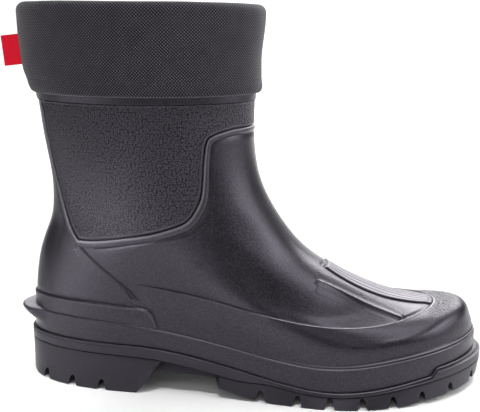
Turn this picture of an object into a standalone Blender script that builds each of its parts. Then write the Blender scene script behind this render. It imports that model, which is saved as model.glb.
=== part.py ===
"""Short moulded work boot with a folded fabric cuff, right foot, standing empty on its sole.

Metres, +Z up, toe towards +X, the outer side of the foot towards -Y. The origin is on the floor under
the middle of the boot's box. Lengths below are in millimetres. A station is measured forward from the
back of the heel, a turn runs round the boot from the back of the heel by the outer side, and a level
climbs the upper from its bottom edge.
"""

import math
from collections import namedtuple

import bmesh
import bpy
import numpy as np

MM = 0.001

# Frame
ORIGIN_STATION = 149.4
ORIGIN_SIDE = -0.9

# Driving dimensions
WALL = 3.2                # thickness of the moulded upper
FIT_GAP = 0.3             # between neighbouring pieces
INSOLE_THICKNESS = 4.0
INSOLE_CLEARANCE = 1.2    # from the edge of the insole to the wall
INSOLE_BEVEL = 0.8        # the insole's edge leans in by this much
INSOLE_LEVEL = 0.1        # level of the wall that the insole's edge follows
LUG_DEPTH = 5.2           # depth of the cuts between the lugs
LUG_GAP = 4.2             # width of those cuts
RIM_HEIGHT = 7.3          # the outsole's smooth rim, over the heel and the arch
RIM_INSET = 0.9           # the heel block stands back under the rim
EDGE_BEVEL = 1.0          # along the outsole's top edge
ARCH_INSET = 8.0          # the arch slab stands back under the rim
INSET_FADE = 12.0         # nearer the middle line than this an inset fades out
SPUR_REACH = 6.5          # the kick-off spur behind the heel
SPUR_TURNS = (0.20, 0.45)

# The midsole's side from bottom to top: share of its height, share of the spur's reach
MIDSOLE_RINGS = ((0, 0), (0.35, 0), (0.62, 0.75), (0.92, 1), (1, 0.9))

# Steps in the upper's wall
RAND_STEP = 1.0           # the rand and toe cap stand proud below their line
RAND_LEVEL = 3.0
RAND_FADE = (80.0, 125.0)
HEEL_BAND_STEP = 1.2      # the band low round the heel
HEEL_BAND_LEVEL = 1.32
HEEL_BAND_END = (84.0, 92.0)
COLLAR_STEP = 0.8         # the smooth band under the cuff
COLLAR_LEVEL = 10.0
STEP_RUN = 0.05           # share of a level over which a step rises

# The foot's curve from heel to toe: how far its middle line swings to the inner side
SWING = ((0.0, 1.0), (60.0, -0.3), (105.0, -3.5), (150.0, -4.4),
         (200.0, -2.0), (250.0, 0.5), (285.0, 2.2), (312.0, 6.5))
SWING_LEVELS = (4, 9)     # between these levels the swing fades out, so the shaft stands straight

# Sections of the upper. Heights and half widths are given at seven equal shares of the way from back to
# front. A half width is that of an ellipse through the section, so a row of equal ones is an ellipse.
SHARES = np.linspace(0.0, 1.0, 7)
Section = namedtuple("Section", "name back front heights widths")
UPPER = (
    Section("bottom edge", 4.2, 302.5, (47, 47.3, 41.6, 32.1, 25.8, 31, 35.8),
            (47, 44, 36.8, 40.5, 53.2, 62, 60)),
    Section("side", 4.3, 299.8, (55, 55.5, 50.5, 41.5, 35.5, 41, 45.5),
            (46.5, 44, 37.5, 41.5, 53, 62, 60)),
    Section("shoulder", 4.6, 293, (63, 64, 60.5, 51.5, 44, 43.8, 53.2),
            (45.5, 43.5, 38, 42, 51.5, 60, 58)),
    Section("rand line", 5.8, 275.5, (73, 74, 71.2, 63.6, 53.2, 49.0, 54.0),
            (44, 43, 38.5, 41.5, 48, 54, 55)),
    Section("vamp", 8.4, 242, (86, 87, 84.5, 78, 66, 57, 60),
            (42, 42, 39.5, 41, 44, 48, 50)),
    Section("low instep", 13.3, 208, (100, 101, 99.5, 94, 84.5, 77, 76.9),
            (40, 41, 41, 41.5, 42.5, 45, 48)),
    Section("instep", 17.7, 184.6, (113, 114, 113, 109, 102, 96, 94),
            (38, 41, 42.5, 43, 43, 43.5, 45)),
    Section("ankle", 18.9, 166, (131, 132, 131.5, 129.5, 125.5, 121, 119),
            (38, 41.5, 43.5, 44, 44, 43.5, 43.5)),
    Section("low shaft", 17.2, 156, (148, 148.5, 148, 147.5, 146, 144.5, 143.5),
            (39.5, 42, 44, 44.5, 44.5, 44, 43.5)),
    Section("shaft", 13.8, 153, (170,) * 7,
            (42, 43.5, 44.5, 45, 45, 44.5, 44)),
    Section("collar line", 11.7, 153.2, (188.7,) * 7,
            (44, 44.5, 45, 45, 45, 45, 44.5)),
    Section("under cuff", 8.4, 153.4, (209,) * 7,
            (45, 45.5, 46, 46, 46, 46, 45.5)),
    Section("rim", 5.2, 155.2, (246,) * 7,
            (47, 47.5, 48, 48, 48, 48, 47.5)),
)

# Outlines of the sole in the same form, without heights
Outline = namedtuple("Outline", "name back front widths")
MIDSOLE_TOP = Outline("midsole top", 3.2, 303.8, (48.2, 45.2, 38, 41.7, 54.4, 63.2, 61))
MIDSOLE_SIDE = Outline("midsole side", 2.3, 304.8, (49, 46, 38.8, 42.5, 55.2, 64, 62))
SOLE_RIM = Outline("outsole rim", 0.3, 309.5, (50.5, 47.2, 40.2, 43.9, 56.6, 65.5, 64))
SOLE_FLOOR = Outline("outsole tread", 1.0, 308, (60, 51.5, 43, 45.5, 60.5, 68, 66))

# Lines along the sole: station and height
TREAD_LINE = ((0, 31.8), (35, 31.7), (70, 31.4), (88, 30.5), (121, 25.2), (154, 18), (186, 11.4),
              (208, 9.7), (230, 11.5), (265, 16.8), (310, 19.5))
BUMPER = (270.5, 274.0, 4.6)     # the outsole steps up over the toe: start, end, rise
TREAD_BOTTOM = ((0, 1.6), (6, 0), (79, 0), (89.5, 12.6), (131, 10.8), (133.5, 6.8), (150, 2.4), (168, 0),
                (228, 0), (250, 1), (275, 3), (300, 5), (310, 6))
RIM_TAPER = (140.0, 172.0, 2.6)  # the rim thins to the forefoot: start, end, height there
ARCH_UNDER_RIM = (95.0, 98.0, 130.5, 134.0)
ARCH_BOTTOM = (88.5, 91.0, 130.5, 133.5)

# Stations of the cuts between the edge lugs, the same on both sides, and of the bars between them
HEEL_CUTS = (14.5, 34.4, 55.3)
FOREFOOT_CUTS = (160.5, 184.0, 204.5, 225.5, 245.0, 264.0, 283.5, 300.5)
HEEL_BARS = (44.0,)
FOREFOOT_BARS = (172.0, 194.0, 215.0, 236.0, 257.0)
LUG_LENGTH = 17.0                # from the edge of the tread into the channel
CUT_OVERRUN = 6.0                # the cutters start this far outside the edge and below the floor
BAR_RISE = 0.4                   # the bars are this much shallower than the edge cuts
CHANNEL_WIDTH = 5.0
CHANNEL_POINTS = 32
HEEL_CHANNEL = Outline("heel channel", 19, 66, (26, 26, 25, 25, 25, 27, 30))
FOREFOOT_CHANNEL = Outline("forefoot channel", 152, 291, (30, 34, 38, 41, 43, 45, 44))

# Raised lines on the upper, outer side. Both are repeated on the inner side.
QUARTER_SEAM = ((41, 98.3), (59, 100.2), (86, 105.6), (102.4, 110.4), (114, 115.4), (120, 123.3),
                (123.6, 133), (124.7, 147), (125.6, 160), (127, 165), (130.5, 168), (139, 170.6),
                (147, 171.3))            # station, height
BACK_STRIP = ((16.5, 187), (19, 178), (23.5, 148), (30.5, 119), (40.5, 100), (51.6, 87),
              (63.6, 77.6), (73, 69.5), (80, 58.5))     # station, height
VAMP_RIB = ((195, -26), (205, -23.8), (218, -22.6), (234.5, -23.5), (247, -27),
            (257.5, -34))                # station, side
CENTRE_STRIP = ((202, -11), (222, -10.4), (242, -8.8), (262, -7.8), (276.5, -7))       # station, side
SEAM_SIZE = (1.8, 0.9)           # half width, height over the wall
BACK_STRIP_SIZE = (1.2, 0.8)
VAMP_PANEL_HEIGHT = 1.2
VAMP_PANEL_SINK = 0.3            # the panel's rear end starts under the wall and rises over its first points
VAMP_PANEL_RUN = 4
CENTRE_STRIP_HEIGHT = 2.6
RIDGE_ROOT = 1.2                 # how deep a raised line reaches into the wall
RIDGE_CROWN = 0.55               # share of a raised line's width that is its flat top

# Points along each raised line, and across each raised panel
SEAM_POINTS = 60
STRIP_POINTS = 16
RIB_POINTS = 12
CENTRE_POINTS = 10
PANEL_ACROSS = 9
CENTRE_ACROSS = 4

# Cuff, folded over the rim: level, distance from the wall, lift over that level
CUFF = ((10.38, 1.1, 0), (10.36, 3.6, 0), (10.46, 4.6, 0), (11.0, 4.8, 0), (11.88, 4.6, 0),
        (12, 3.9, 1.6), (12, 1.9, 3.7), (12, -1.4, 4.2), (12, -4.6, 3.2), (12, -6.1, 0.6),
        (11.0, -6.2, 0), (10.38, -6.0, 0), (10.38, -3.5, 0), (11.0, -3.5, 0), (12, -3.5, 0.3),
        (12, 1.1, 0.3), (11.0, 1.1, 0))
LABEL_STAND = 5.2         # from the wall to the label's sewn edge, just clear of the cuff
LABEL_REACH = 12.0
LABEL_LEVELS = (11.1, 11.6)
LABEL_DROP = 1.6
LABEL_THICKNESS = 1.2

# How finely the forms are made and searched
AROUND = 60
NEAR_TURN = 0.02
SMALL_STEP = 0.001
SEARCH_TURNS = 160
SEARCH_LEVELS = 240
SEARCH_ROUNDS = 6
PATH_SAMPLES = 400
UPPER_STEP_ROWS = (HEEL_BAND_LEVEL, RAND_LEVEL, COLLAR_LEVEL)
UPPER_PLAIN_ROWS = (0, 0.5, 0.95, 1.7, 2.1, 2.5, 2.8, 3.4, 3.8, 4.2, 4.6, 5, 5.5, 6, 6.5, 7, 7.5, 8, 8.6, 9.3,
                    11, 12)
LINING_ROWS = (12, 11, 10, 9, 8, 7, 6.2, 5.4, 4.6, 3.8, 3, 2.3, 1.2, 0)


def spline(knots, values, at):
    """Natural cubic spline through values at knots. Values may have several columns."""
    knots = np.asarray(knots, float)
    values = np.asarray(values, float)
    at = np.asarray(at, float)
    count = len(knots)
    run = np.diff(knots)
    system = np.eye(count)
    bend = np.zeros_like(values)
    for i in range(1, count - 1):
        system[i, i - 1:i + 2] = run[i - 1], 2 * (run[i - 1] + run[i]), run[i]
        bend[i] = 6 * ((values[i + 1] - values[i]) / run[i] - (values[i] - values[i - 1]) / run[i - 1])
    curve = np.linalg.solve(system, bend)
    i = np.clip(np.searchsorted(knots, at) - 1, 0, count - 2)
    shape = at.shape + (1,) * (values.ndim - 1)
    h = run[i].reshape(shape)
    right = ((at - knots[i]) / run[i]).reshape(shape)
    left = 1 - right
    straight = left * values[i] + right * values[i + 1]
    return straight + h * h / 6 * ((left ** 3 - left) * curve[i] + (right ** 3 - right) * curve[i + 1])


def ease(value, start, end):
    """0 before start, 1 after end, with a smooth rise between."""
    share = np.clip((np.asarray(value, float) - start) / (end - start), 0, 1)
    return share * share * (3 - 2 * share)


def ramp(value, start, end):
    """0 before start, 1 after end, straight between."""
    return np.clip((np.asarray(value, float) - start) / (end - start), 0, 1)


def plan(outline, turns, swung=1.0):
    """Station and side of an outline at the given turns, and the share of its length."""
    share = (1 - np.cos(turns)) / 2
    station = outline.back + (outline.front - outline.back) * share
    width = spline(SHARES, outline.widths, share)
    side = swung * spline(*np.transpose(SWING), station) - width * np.sin(turns)
    return station, side, share


UPPER_ROWS = np.array([(s.back, s.front, *s.heights, *s.widths) for s in UPPER], float)


def upper_ring(level, turns):
    """Points of the plain upper at one level: station, side, height."""
    row = spline(np.arange(len(UPPER)), UPPER_ROWS, level)
    section = Section("between", row[0], row[1], row[2:9], row[9:16])
    station, side, share = plan(section, turns, 1 - ease(level, *SWING_LEVELS))
    return np.stack([station, side, spline(SHARES, section.heights, share)], axis=-1)


def upper_normals(level, turns):
    step = SMALL_STEP
    round_it = upper_ring(level, turns + step) - upper_ring(level, turns - step)
    up_it = upper_ring(level + step, turns) - upper_ring(level - step, turns)
    normal = np.cross(round_it, up_it)
    return normal / np.linalg.norm(normal, axis=-1, keepdims=True)


def wall(level, turns, offset):
    """Points at a distance from the plain upper, positive outwards."""
    return upper_ring(level, turns) + upper_normals(level, turns) * np.reshape(offset, (-1, 1))


def relief(level, stations):
    """Height of the moulded steps over the plain upper."""
    rand = 1 - ramp(level, RAND_LEVEL, RAND_LEVEL + STEP_RUN)
    band = 1 - ramp(level, HEEL_BAND_LEVEL, HEEL_BAND_LEVEL + STEP_RUN)
    collar = ramp(level, COLLAR_LEVEL, COLLAR_LEVEL + STEP_RUN)
    return (RAND_STEP * rand * ease(stations, *RAND_FADE)
            + HEEL_BAND_STEP * band * (1 - ease(stations, *HEEL_BAND_END))
            + COLLAR_STEP * collar)


def bed_height(station):
    """Height of the upper's bottom edge, where the midsole closes it."""
    edge = UPPER[0]
    share = np.clip((station - edge.back) / (edge.front - edge.back), 0, 1)
    return spline(SHARES, edge.heights, share)


def tread_line(station):
    """Height of the line between midsole and outsole."""
    start, end, rise = BUMPER
    return spline(*np.transpose(TREAD_LINE), station) + rise * ramp(station, start, end)


def tread_bottom(station):
    return np.interp(station, *np.transpose(TREAD_BOTTOM))


def locate(targets, axes):
    """Turn and level of points on the outer side, given two of their coordinates."""
    turns = np.linspace(NEAR_TURN, math.pi - NEAR_TURN, SEARCH_TURNS)
    levels = np.linspace(0, len(UPPER) - 1, SEARCH_LEVELS)
    grid = np.array([upper_ring(level, turns) for level in levels])[..., axes]
    found = []
    for target in targets:
        miss = np.linalg.norm(grid - np.array(target), axis=-1)
        i, j = np.unravel_index(np.argmin(miss), miss.shape)
        at = np.array([turns[j], levels[i]])
        for _ in range(SEARCH_ROUNDS):
            here = upper_ring(at[1], at[:1])[0][axes]
            step = SMALL_STEP
            by_turn = (upper_ring(at[1], at[:1] + step)[0][axes] - here) / step
            by_level = (upper_ring(at[1] + step, at[:1])[0][axes] - here) / step
            slopes = np.stack([by_turn, by_level], 1)
            at = at + np.linalg.lstsq(slopes, np.array(target) - here, rcond=None)[0]
        found.append(at)
    return np.array(found)


SIDE_VIEW = [0, 2]
TOP_VIEW = [0, 1]


def smooth_path(points, count):
    """Evenly spaced turns and levels along a smooth curve through the given ones."""
    knots = np.arange(len(points))
    fine = spline(knots, points, np.linspace(0, knots[-1], PATH_SAMPLES))
    places = np.array([upper_ring(level, np.array([turn]))[0] for turn, level in fine])
    length = np.concatenate([[0], np.cumsum(np.linalg.norm(np.diff(places, axis=0), axis=1))])
    at = np.linspace(0, length[-1], count)
    return np.stack([np.interp(at, length, fine[:, 0]), np.interp(at, length, fine[:, 1])], 1)


def mirrored(path):
    """The same path on the inner side."""
    return np.stack([2 * math.pi - path[:, 0], path[:, 1]], 1)


def mesh_object(name, points, faces):
    """A mesh from points in stations, sides and heights, with its faces turned outwards."""
    points = (np.asarray(points) - (ORIGIN_STATION, ORIGIN_SIDE, 0.0)) * MM
    mesh = bpy.data.meshes.new(name)
    mesh.from_pydata(points.tolist(), [], faces)
    work = bmesh.new()
    work.from_mesh(mesh)
    bmesh.ops.recalc_face_normals(work, faces=work.faces)
    work.to_mesh(mesh)
    work.free()
    obj = bpy.data.objects.new(name, mesh)
    bpy.context.scene.collection.objects.link(obj)
    return obj


def between_rings(count, around, closed):
    """Faces between rings stacked one after another."""
    faces = []
    for i in range(count if closed else count - 1):
        low = i * around
        high = (i + 1) % count * around
        for j in range(around):
            k = (j + 1) % around
            faces.append((low + j, low + k, high + k, high + j))
    return faces


def rungs(start, around):
    """A face over one ring, made of bars from its outer to its inner side."""
    half = around // 2
    faces = [(start, start + 1, start + around - 1)]
    for j in range(1, half - 1):
        faces.append((start + j, start + j + 1, start + around - j - 1, start + around - j))
    faces.append((start + half - 1, start + half, start + half + 1))
    return faces


def stack(name, rings):
    """A solid of rings from bottom to top, closed at both ends."""
    around = len(rings[0])
    faces = between_rings(len(rings), around, False)
    faces += rungs(0, around) + rungs((len(rings) - 1) * around, around)
    return mesh_object(name, np.concatenate(rings), faces)


def hoop(name, rings):
    """A solid of rings that come back to the first, open through the middle."""
    return mesh_object(name, np.concatenate(rings), between_rings(len(rings), len(rings[0]), True))


def ridge(name, path, half_width, height):
    """A low rounded bar along a path on the upper."""
    section = ((-1.0, -RIDGE_ROOT), (-1.0, 0.0), (-RIDGE_CROWN, height),
               (RIDGE_CROWN, height), (1.0, 0.0), (1.0, -RIDGE_ROOT))
    base = np.array([upper_ring(level, np.array([turn]))[0] for turn, level in path])
    normal = np.array([upper_normals(level, np.array([turn]))[0] for turn, level in path])
    across = np.cross(np.gradient(base, axis=0), normal)
    across /= np.linalg.norm(across, axis=1, keepdims=True)
    points = [base + across * half_width * a + normal * b for a, b in section]
    points = np.stack(points, 1).reshape(-1, 3)
    sides = len(section)
    faces = between_rings(len(path), sides, False)
    faces += [tuple(range(sides)), tuple(range(len(points) - sides, len(points)))]
    return mesh_object(name, points, faces)


def patch(name, edge, across, heights):
    """A raised panel over the front, from a path on the outer side to its mirror on the inner side."""
    shares = np.linspace(0, 1, across)
    over = []
    under = []
    for (turn, level), height in zip(edge, heights):
        turns = turn + (2 * math.pi - 2 * turn) * shares
        over.append(wall(level, turns, np.full(across, height)))
        under.append(wall(level, turns, np.full(across, -RIDGE_ROOT)))
    loops = [np.concatenate([o, u[::-1]]) for o, u in zip(over, under)]
    sides = 2 * across
    faces = between_rings(len(loops), sides, False)
    for start in (0, (len(loops) - 1) * sides):
        for j in range(across - 1):
            far = start + sides - 1 - j
            faces.append((start + j, start + j + 1, far - 1, far))
    return mesh_object(name, np.concatenate(loops), faces)


def material(obj, name, colour, roughness):
    surface = bpy.data.materials.new(name)
    surface.use_nodes = True
    shader = surface.node_tree.nodes["Principled BSDF"]
    shader.inputs["Base Color"].default_value = (*colour, 1.0)
    shader.inputs["Roughness"].default_value = roughness
    shader.inputs["Metallic"].default_value = 0.0
    obj.data.materials.append(surface)


def shade(obj, angle):
    obj.data.shade_smooth()
    obj.data.set_sharp_from_angle(angle=math.radians(angle))


def combine(obj, operation, others):
    """Joins the others to an object, or cuts them from it."""
    group = bpy.data.collections.new(obj.name + "_" + operation.lower())
    bpy.context.scene.collection.children.link(group)
    for other in others:
        bpy.context.scene.collection.objects.unlink(other)
        group.objects.link(other)
        other.hide_render = True
        other.display_type = "WIRE"
    modifier = obj.modifiers.new(operation.title(), "BOOLEAN")
    modifier.operation = operation
    modifier.solver = "EXACT"
    modifier.operand_type = "COLLECTION"
    modifier.collection = group


def even_turns():
    return np.arange(AROUND) * 2 * math.pi / AROUND


def make_upper():
    turns = even_turns()
    rows = list(UPPER_PLAIN_ROWS)
    for level in UPPER_STEP_ROWS:
        rows += [level, level + STEP_RUN]
    rings = []
    for level in sorted(rows):
        base = upper_ring(level, turns)
        rings.append(base + upper_normals(level, turns) * relief(level, base[:, 0])[:, None])
    rings[0][:, 2] = bed_height(rings[0][:, 0])
    lining = [wall(level, turns, -WALL) for level in LINING_ROWS]
    lining[-1][:, 2] = bed_height(lining[-1][:, 0])
    upper = hoop("upper", rings + lining)

    seam = locate(QUARTER_SEAM, SIDE_VIEW)
    front = np.array([[math.pi, seam[-1, 1]]])
    seam = smooth_path(np.concatenate([seam, front, mirrored(seam)[::-1]]), SEAM_POINTS)
    strip = smooth_path(locate(BACK_STRIP, SIDE_VIEW), STRIP_POINTS)
    rib = smooth_path(locate(VAMP_RIB, TOP_VIEW), RIB_POINTS)
    centre = smooth_path(locate(CENTRE_STRIP, TOP_VIEW), CENTRE_POINTS)
    rise = ramp(np.arange(RIB_POINTS), 0, VAMP_PANEL_RUN)
    rise = (VAMP_PANEL_HEIGHT + VAMP_PANEL_SINK) * rise - VAMP_PANEL_SINK
    overlays = [
        ridge("quarter_seam", seam, *SEAM_SIZE),
        ridge("back_strip_outer", strip, *BACK_STRIP_SIZE),
        ridge("back_strip_inner", mirrored(strip), *BACK_STRIP_SIZE),
        patch("vamp_panel", rib, PANEL_ACROSS, rise),
        patch("centre_strip", centre, CENTRE_ACROSS, np.full(CENTRE_POINTS, CENTRE_STRIP_HEIGHT)),
    ]
    combine(upper, "UNION", overlays)
    material(upper, "moulded_foam", (0.030, 0.028, 0.034), 0.42)
    shade(upper, 35)


def turns_at(outline, stations):
    """Turns on the outer side where an outline passes the given stations."""
    share = (np.array(stations) - outline.back) / (outline.front - outline.back)
    return np.arccos(1 - 2 * share)


def turns_with(extra):
    """Even turns round the sole, with more where its lines break, the same on both sides."""
    half = np.linspace(0, math.pi, AROUND // 2 + 1)
    plain = [t for t in half[1:-1] if np.min(np.abs(extra - t)) > NEAR_TURN]
    outer = np.unique(np.round(np.concatenate([plain, extra]), 6))
    return np.concatenate([[0.0], outer, [math.pi], 2 * math.pi - outer[::-1]])


def sole_ring(outline, turns, height, inset=0.0):
    """A ring on the sole, at a height worked out from its stations, moved in by an inset."""
    station, side, _ = plan(outline, turns)
    middle = spline(*np.transpose(SWING), station)
    side = middle + (side - middle) * (1 - inset / np.maximum(np.abs(side - middle), INSET_FADE))
    return np.stack([station, side, height(station)], axis=-1)


def make_midsole():
    turns = turns_with(turns_at(MIDSOLE_SIDE, BUMPER[:2]))
    spur = np.minimum(turns, 2 * math.pi - turns)
    spur = SPUR_REACH * (1 - ease(spur, *SPUR_TURNS))

    def between(share):
        def height(station):
            low = tread_line(station) + FIT_GAP
            return low + (bed_height(station) - FIT_GAP - low) * share
        return height

    rings = []
    for share, reach in MIDSOLE_RINGS:
        ring = sole_ring(MIDSOLE_TOP if share == 1 else MIDSOLE_SIDE, turns, between(share))
        ring[:, 0] -= spur * reach
        rings.append(ring)
    midsole = stack("midsole", rings)
    material(midsole, "midsole_foam", (0.030, 0.028, 0.033), 0.45)
    shade(midsole, 35)


def make_outsole():
    under_rim = turns_at(SOLE_RIM, BUMPER[:2] + ARCH_UNDER_RIM)
    on_floor = turns_at(SOLE_FLOOR, [s for s, _ in TREAD_BOTTOM[1:-1]] + list(ARCH_BOTTOM))
    turns = turns_with(np.concatenate([under_rim, on_floor]))

    def rim_bottom(station):
        start, end, thin = RIM_TAPER
        height = RIM_HEIGHT + (thin - RIM_HEIGHT) * ease(station, start, end)
        return spline(*np.transpose(TREAD_LINE), station) - height

    def under_top(station):
        return tread_line(station) - EDGE_BEVEL

    def arch(outline, limits):
        station = plan(outline, turns)[0]
        return ARCH_INSET * (ramp(station, *limits[:2]) - ramp(station, *limits[2:]))

    heel = RIM_INSET * (1 - ramp(plan(SOLE_RIM, turns)[0], *ARCH_UNDER_RIM[:2]))
    rings = [
        sole_ring(SOLE_FLOOR, turns, tread_bottom, arch(SOLE_FLOOR, ARCH_BOTTOM)),
        sole_ring(SOLE_RIM, turns, lambda s: rim_bottom(s) - FIT_GAP, arch(SOLE_RIM, ARCH_UNDER_RIM) + heel),
        sole_ring(SOLE_RIM, turns, rim_bottom),
        sole_ring(SOLE_RIM, turns, under_top),
        sole_ring(SOLE_RIM, turns, tread_line, EDGE_BEVEL),
    ]
    outsole = stack("outsole", rings)
    combine(outsole, "DIFFERENCE", tread_cutters())
    material(outsole, "outsole_rubber", (0.028, 0.026, 0.030), 0.50)
    shade(outsole, 30)


def box_cutter(name, centre, direction, length, width, low, high):
    """An upright block, its length along a direction in plan."""
    along = np.array(direction) / np.linalg.norm(direction)
    across = np.array([-along[1], along[0]])
    corners = []
    for z in (low, high):
        for a, b in ((-0.5, -0.5), (0.5, -0.5), (0.5, 0.5), (-0.5, 0.5)):
            flat = np.array(centre) + along * a * length + across * b * width
            corners.append((*flat, z))
    faces = [(0, 1, 2, 3), (4, 5, 6, 7), (0, 1, 5, 4), (1, 2, 6, 5), (2, 3, 7, 6), (3, 0, 4, 7)]
    return mesh_object(name, corners, faces)


def channel_cutter(name, outline):
    """A groove that runs round inside the edge lugs."""
    turns = np.arange(CHANNEL_POINTS) * 2 * math.pi / CHANNEL_POINTS
    rings = []
    for shrink, high in ((0, False), (0, True), (CHANNEL_WIDTH, True), (CHANNEL_WIDTH, False)):
        widths = tuple(w - shrink for w in outline.widths)
        shape = Outline(outline.name, outline.back + shrink, outline.front - shrink, widths)
        station, side, _ = plan(shape, turns)
        depth = tread_bottom(station) + LUG_DEPTH if high else np.full_like(station, -CUT_OVERRUN)
        rings.append(np.stack([station, side, depth], axis=-1))
    return hoop(name, rings)


def edge_cutter(name, station, inner):
    """A cut from the edge of the tread in to the channel, square to the edge."""
    turn = turns_at(SOLE_FLOOR, [station])[0]
    at = 2 * math.pi - turn if inner else turn
    near = np.array([at - NEAR_TURN, at, at + NEAR_TURN])
    along, side, _ = plan(SOLE_FLOOR, near)
    inward = np.array([side[0] - side[2], along[2] - along[0]])
    inward /= np.linalg.norm(inward)
    centre = np.array([along[1], side[1]]) + inward * (LUG_LENGTH - CUT_OVERRUN) / 2
    high = float(tread_bottom(station)) + LUG_DEPTH
    return box_cutter(name, centre, inward, LUG_LENGTH + CUT_OVERRUN, LUG_GAP, -CUT_OVERRUN, high)


def bar_cutter(name, station, channel):
    """A cut straight across between the two sides of a channel."""
    turn = turns_at(channel, [station])
    reach = 2 * (float(spline(SHARES, channel.widths, (1 - np.cos(turn)) / 2)[0] * np.sin(turn)[0])
                 - CHANNEL_WIDTH / 2)
    middle = float(spline(*np.transpose(SWING), station))
    high = float(tread_bottom(station)) + LUG_DEPTH - BAR_RISE
    return box_cutter(name, (station, middle), (0, 1), reach, LUG_GAP, -CUT_OVERRUN, high)


def tread_cutters():
    cutters = []
    for channel, bars in ((HEEL_CHANNEL, HEEL_BARS), (FOREFOOT_CHANNEL, FOREFOOT_BARS)):
        cutters.append(channel_cutter("cut_" + channel.name.replace(" ", "_"), channel))
        for station in bars:
            cutters.append(bar_cutter("cut_bar_%d" % station, station, channel))
    for station in HEEL_CUTS + FOREFOOT_CUTS:
        cutters.append(edge_cutter("cut_outer_%d" % station, station, False))
        cutters.append(edge_cutter("cut_inner_%d" % station, station, True))
    return cutters


def make_insole():
    turns = even_turns()
    rings = []
    for rise, clearance in ((FIT_GAP, INSOLE_CLEARANCE), (INSOLE_THICKNESS, INSOLE_CLEARANCE + INSOLE_BEVEL)):
        edge = wall(INSOLE_LEVEL, turns, -(WALL + clearance))
        edge[:, 2] = bed_height(edge[:, 0]) + rise
        rings.append(edge)
    insole = stack("insole", rings)
    material(insole, "insole_felt", (0.05, 0.05, 0.055), 0.9)
    shade(insole, 40)


def make_cuff():
    turns = even_turns()
    rings = []
    for level, offset, lift in CUFF:
        edge = wall(min(level, len(UPPER) - 1), turns, offset)
        edge[:, 2] += lift
        rings.append(edge)
    cuff = hoop("cuff", rings)
    material(cuff, "cuff_textile", (0.035, 0.034, 0.038), 0.9)
    shade(cuff, 40)


def make_label():
    back = np.array([0.0])
    low, high = (wall(level, back, LABEL_STAND)[0] for level in LABEL_LEVELS)
    side = LABEL_THICKNESS / 2
    corners = []
    for y in (-side, side):
        corners += [(low[0], low[1] + y, low[2]), (high[0], high[1] + y, high[2]),
                    (high[0] - LABEL_REACH, high[1] + y, high[2] - LABEL_DROP),
                    (low[0] - LABEL_REACH, low[1] + y, low[2] - LABEL_DROP)]
    faces = [(0, 1, 2, 3), (4, 5, 6, 7), (0, 1, 5, 4), (1, 2, 6, 5), (2, 3, 7, 6), (3, 0, 4, 7)]
    label = mesh_object("label_tab", corners, faces)
    material(label, "label_ribbon", (0.62, 0.02, 0.05), 0.7)


def main():
    for obj in list(bpy.data.objects):
        bpy.data.objects.remove(obj)
    make_upper()
    make_midsole()
    make_outsole()
    make_insole()
    make_cuff()
    make_label()


main()
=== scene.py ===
"""Looks of the short moulded work boot: skin, seams, sole, cuff and label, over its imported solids.

Lengths are millimetres in the boot's own sizes until a mesh is made. A station runs forward from the back
of the heel, a side is positive towards the inner side of the foot, a turn goes round from the back of the
heel by the outer side, and a level climbs the upper from its bottom edge.
"""

import math
from collections import namedtuple

import bmesh
import bpy
import numpy as np
from mathutils import Matrix
from mathutils.kdtree import KDTree


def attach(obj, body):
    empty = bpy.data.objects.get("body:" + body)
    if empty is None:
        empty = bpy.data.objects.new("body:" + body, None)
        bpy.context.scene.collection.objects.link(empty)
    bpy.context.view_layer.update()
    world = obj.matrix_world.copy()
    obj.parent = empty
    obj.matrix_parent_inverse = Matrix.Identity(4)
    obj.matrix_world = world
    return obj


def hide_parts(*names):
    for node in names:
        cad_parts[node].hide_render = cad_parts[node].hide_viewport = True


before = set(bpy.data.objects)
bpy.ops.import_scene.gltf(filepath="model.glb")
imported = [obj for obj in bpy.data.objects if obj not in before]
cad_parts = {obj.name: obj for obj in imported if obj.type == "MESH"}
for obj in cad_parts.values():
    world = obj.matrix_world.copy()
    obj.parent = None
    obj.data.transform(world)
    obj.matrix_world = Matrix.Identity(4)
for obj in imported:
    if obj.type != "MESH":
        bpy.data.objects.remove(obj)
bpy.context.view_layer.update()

MM = 0.001
ORIGIN = (149.4, -0.9, 0.0)      # station, side and height of the frame's origin

# How finely the meshes are made: points round them, rows, and the small step that gives a slope
SKIN_TURNS = 360
LINING_TURNS = 180
LINING_ROWS = 110
MIDSOLE_TURNS = 720
OUTSOLE_HALF_TURNS = 141
OUTSOLE_ROWS = 8         # from its tread's edge up to its rim
OUTSOLE_LEAST_TURN = 0.006
CHANNEL_TURNS = 96
INSOLE_TURNS = 240
CUFF_TURNS = 420
CUFF_ROWS = 110
LABEL_GRID = (30, 20)
SWEEP_STEPS = 25
SLOPE_STEP = 1e-3
EDGE_STEP = 0.02         # turns that give the direction of the tread's edge
PATH_STEPS = 1500
GIRTH_STEPS = 721
SEARCH_GRID = (160, 240)         # turns and levels where a place on the upper is first looked for
SEARCH_MARGIN = 0.02
SEARCH_ROUNDS = 6

# Camera, as the photo was taken
CAMERA_PLACE = (173.24, -557.19, 248.32)     # station, side, height
CAMERA_YAW = 3.0
CAMERA_PITCH = 13.2
CAMERA_ROLL = 0.45
CAMERA_LENS = 64.35
CAMERA_SENSOR = 36.0

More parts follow.
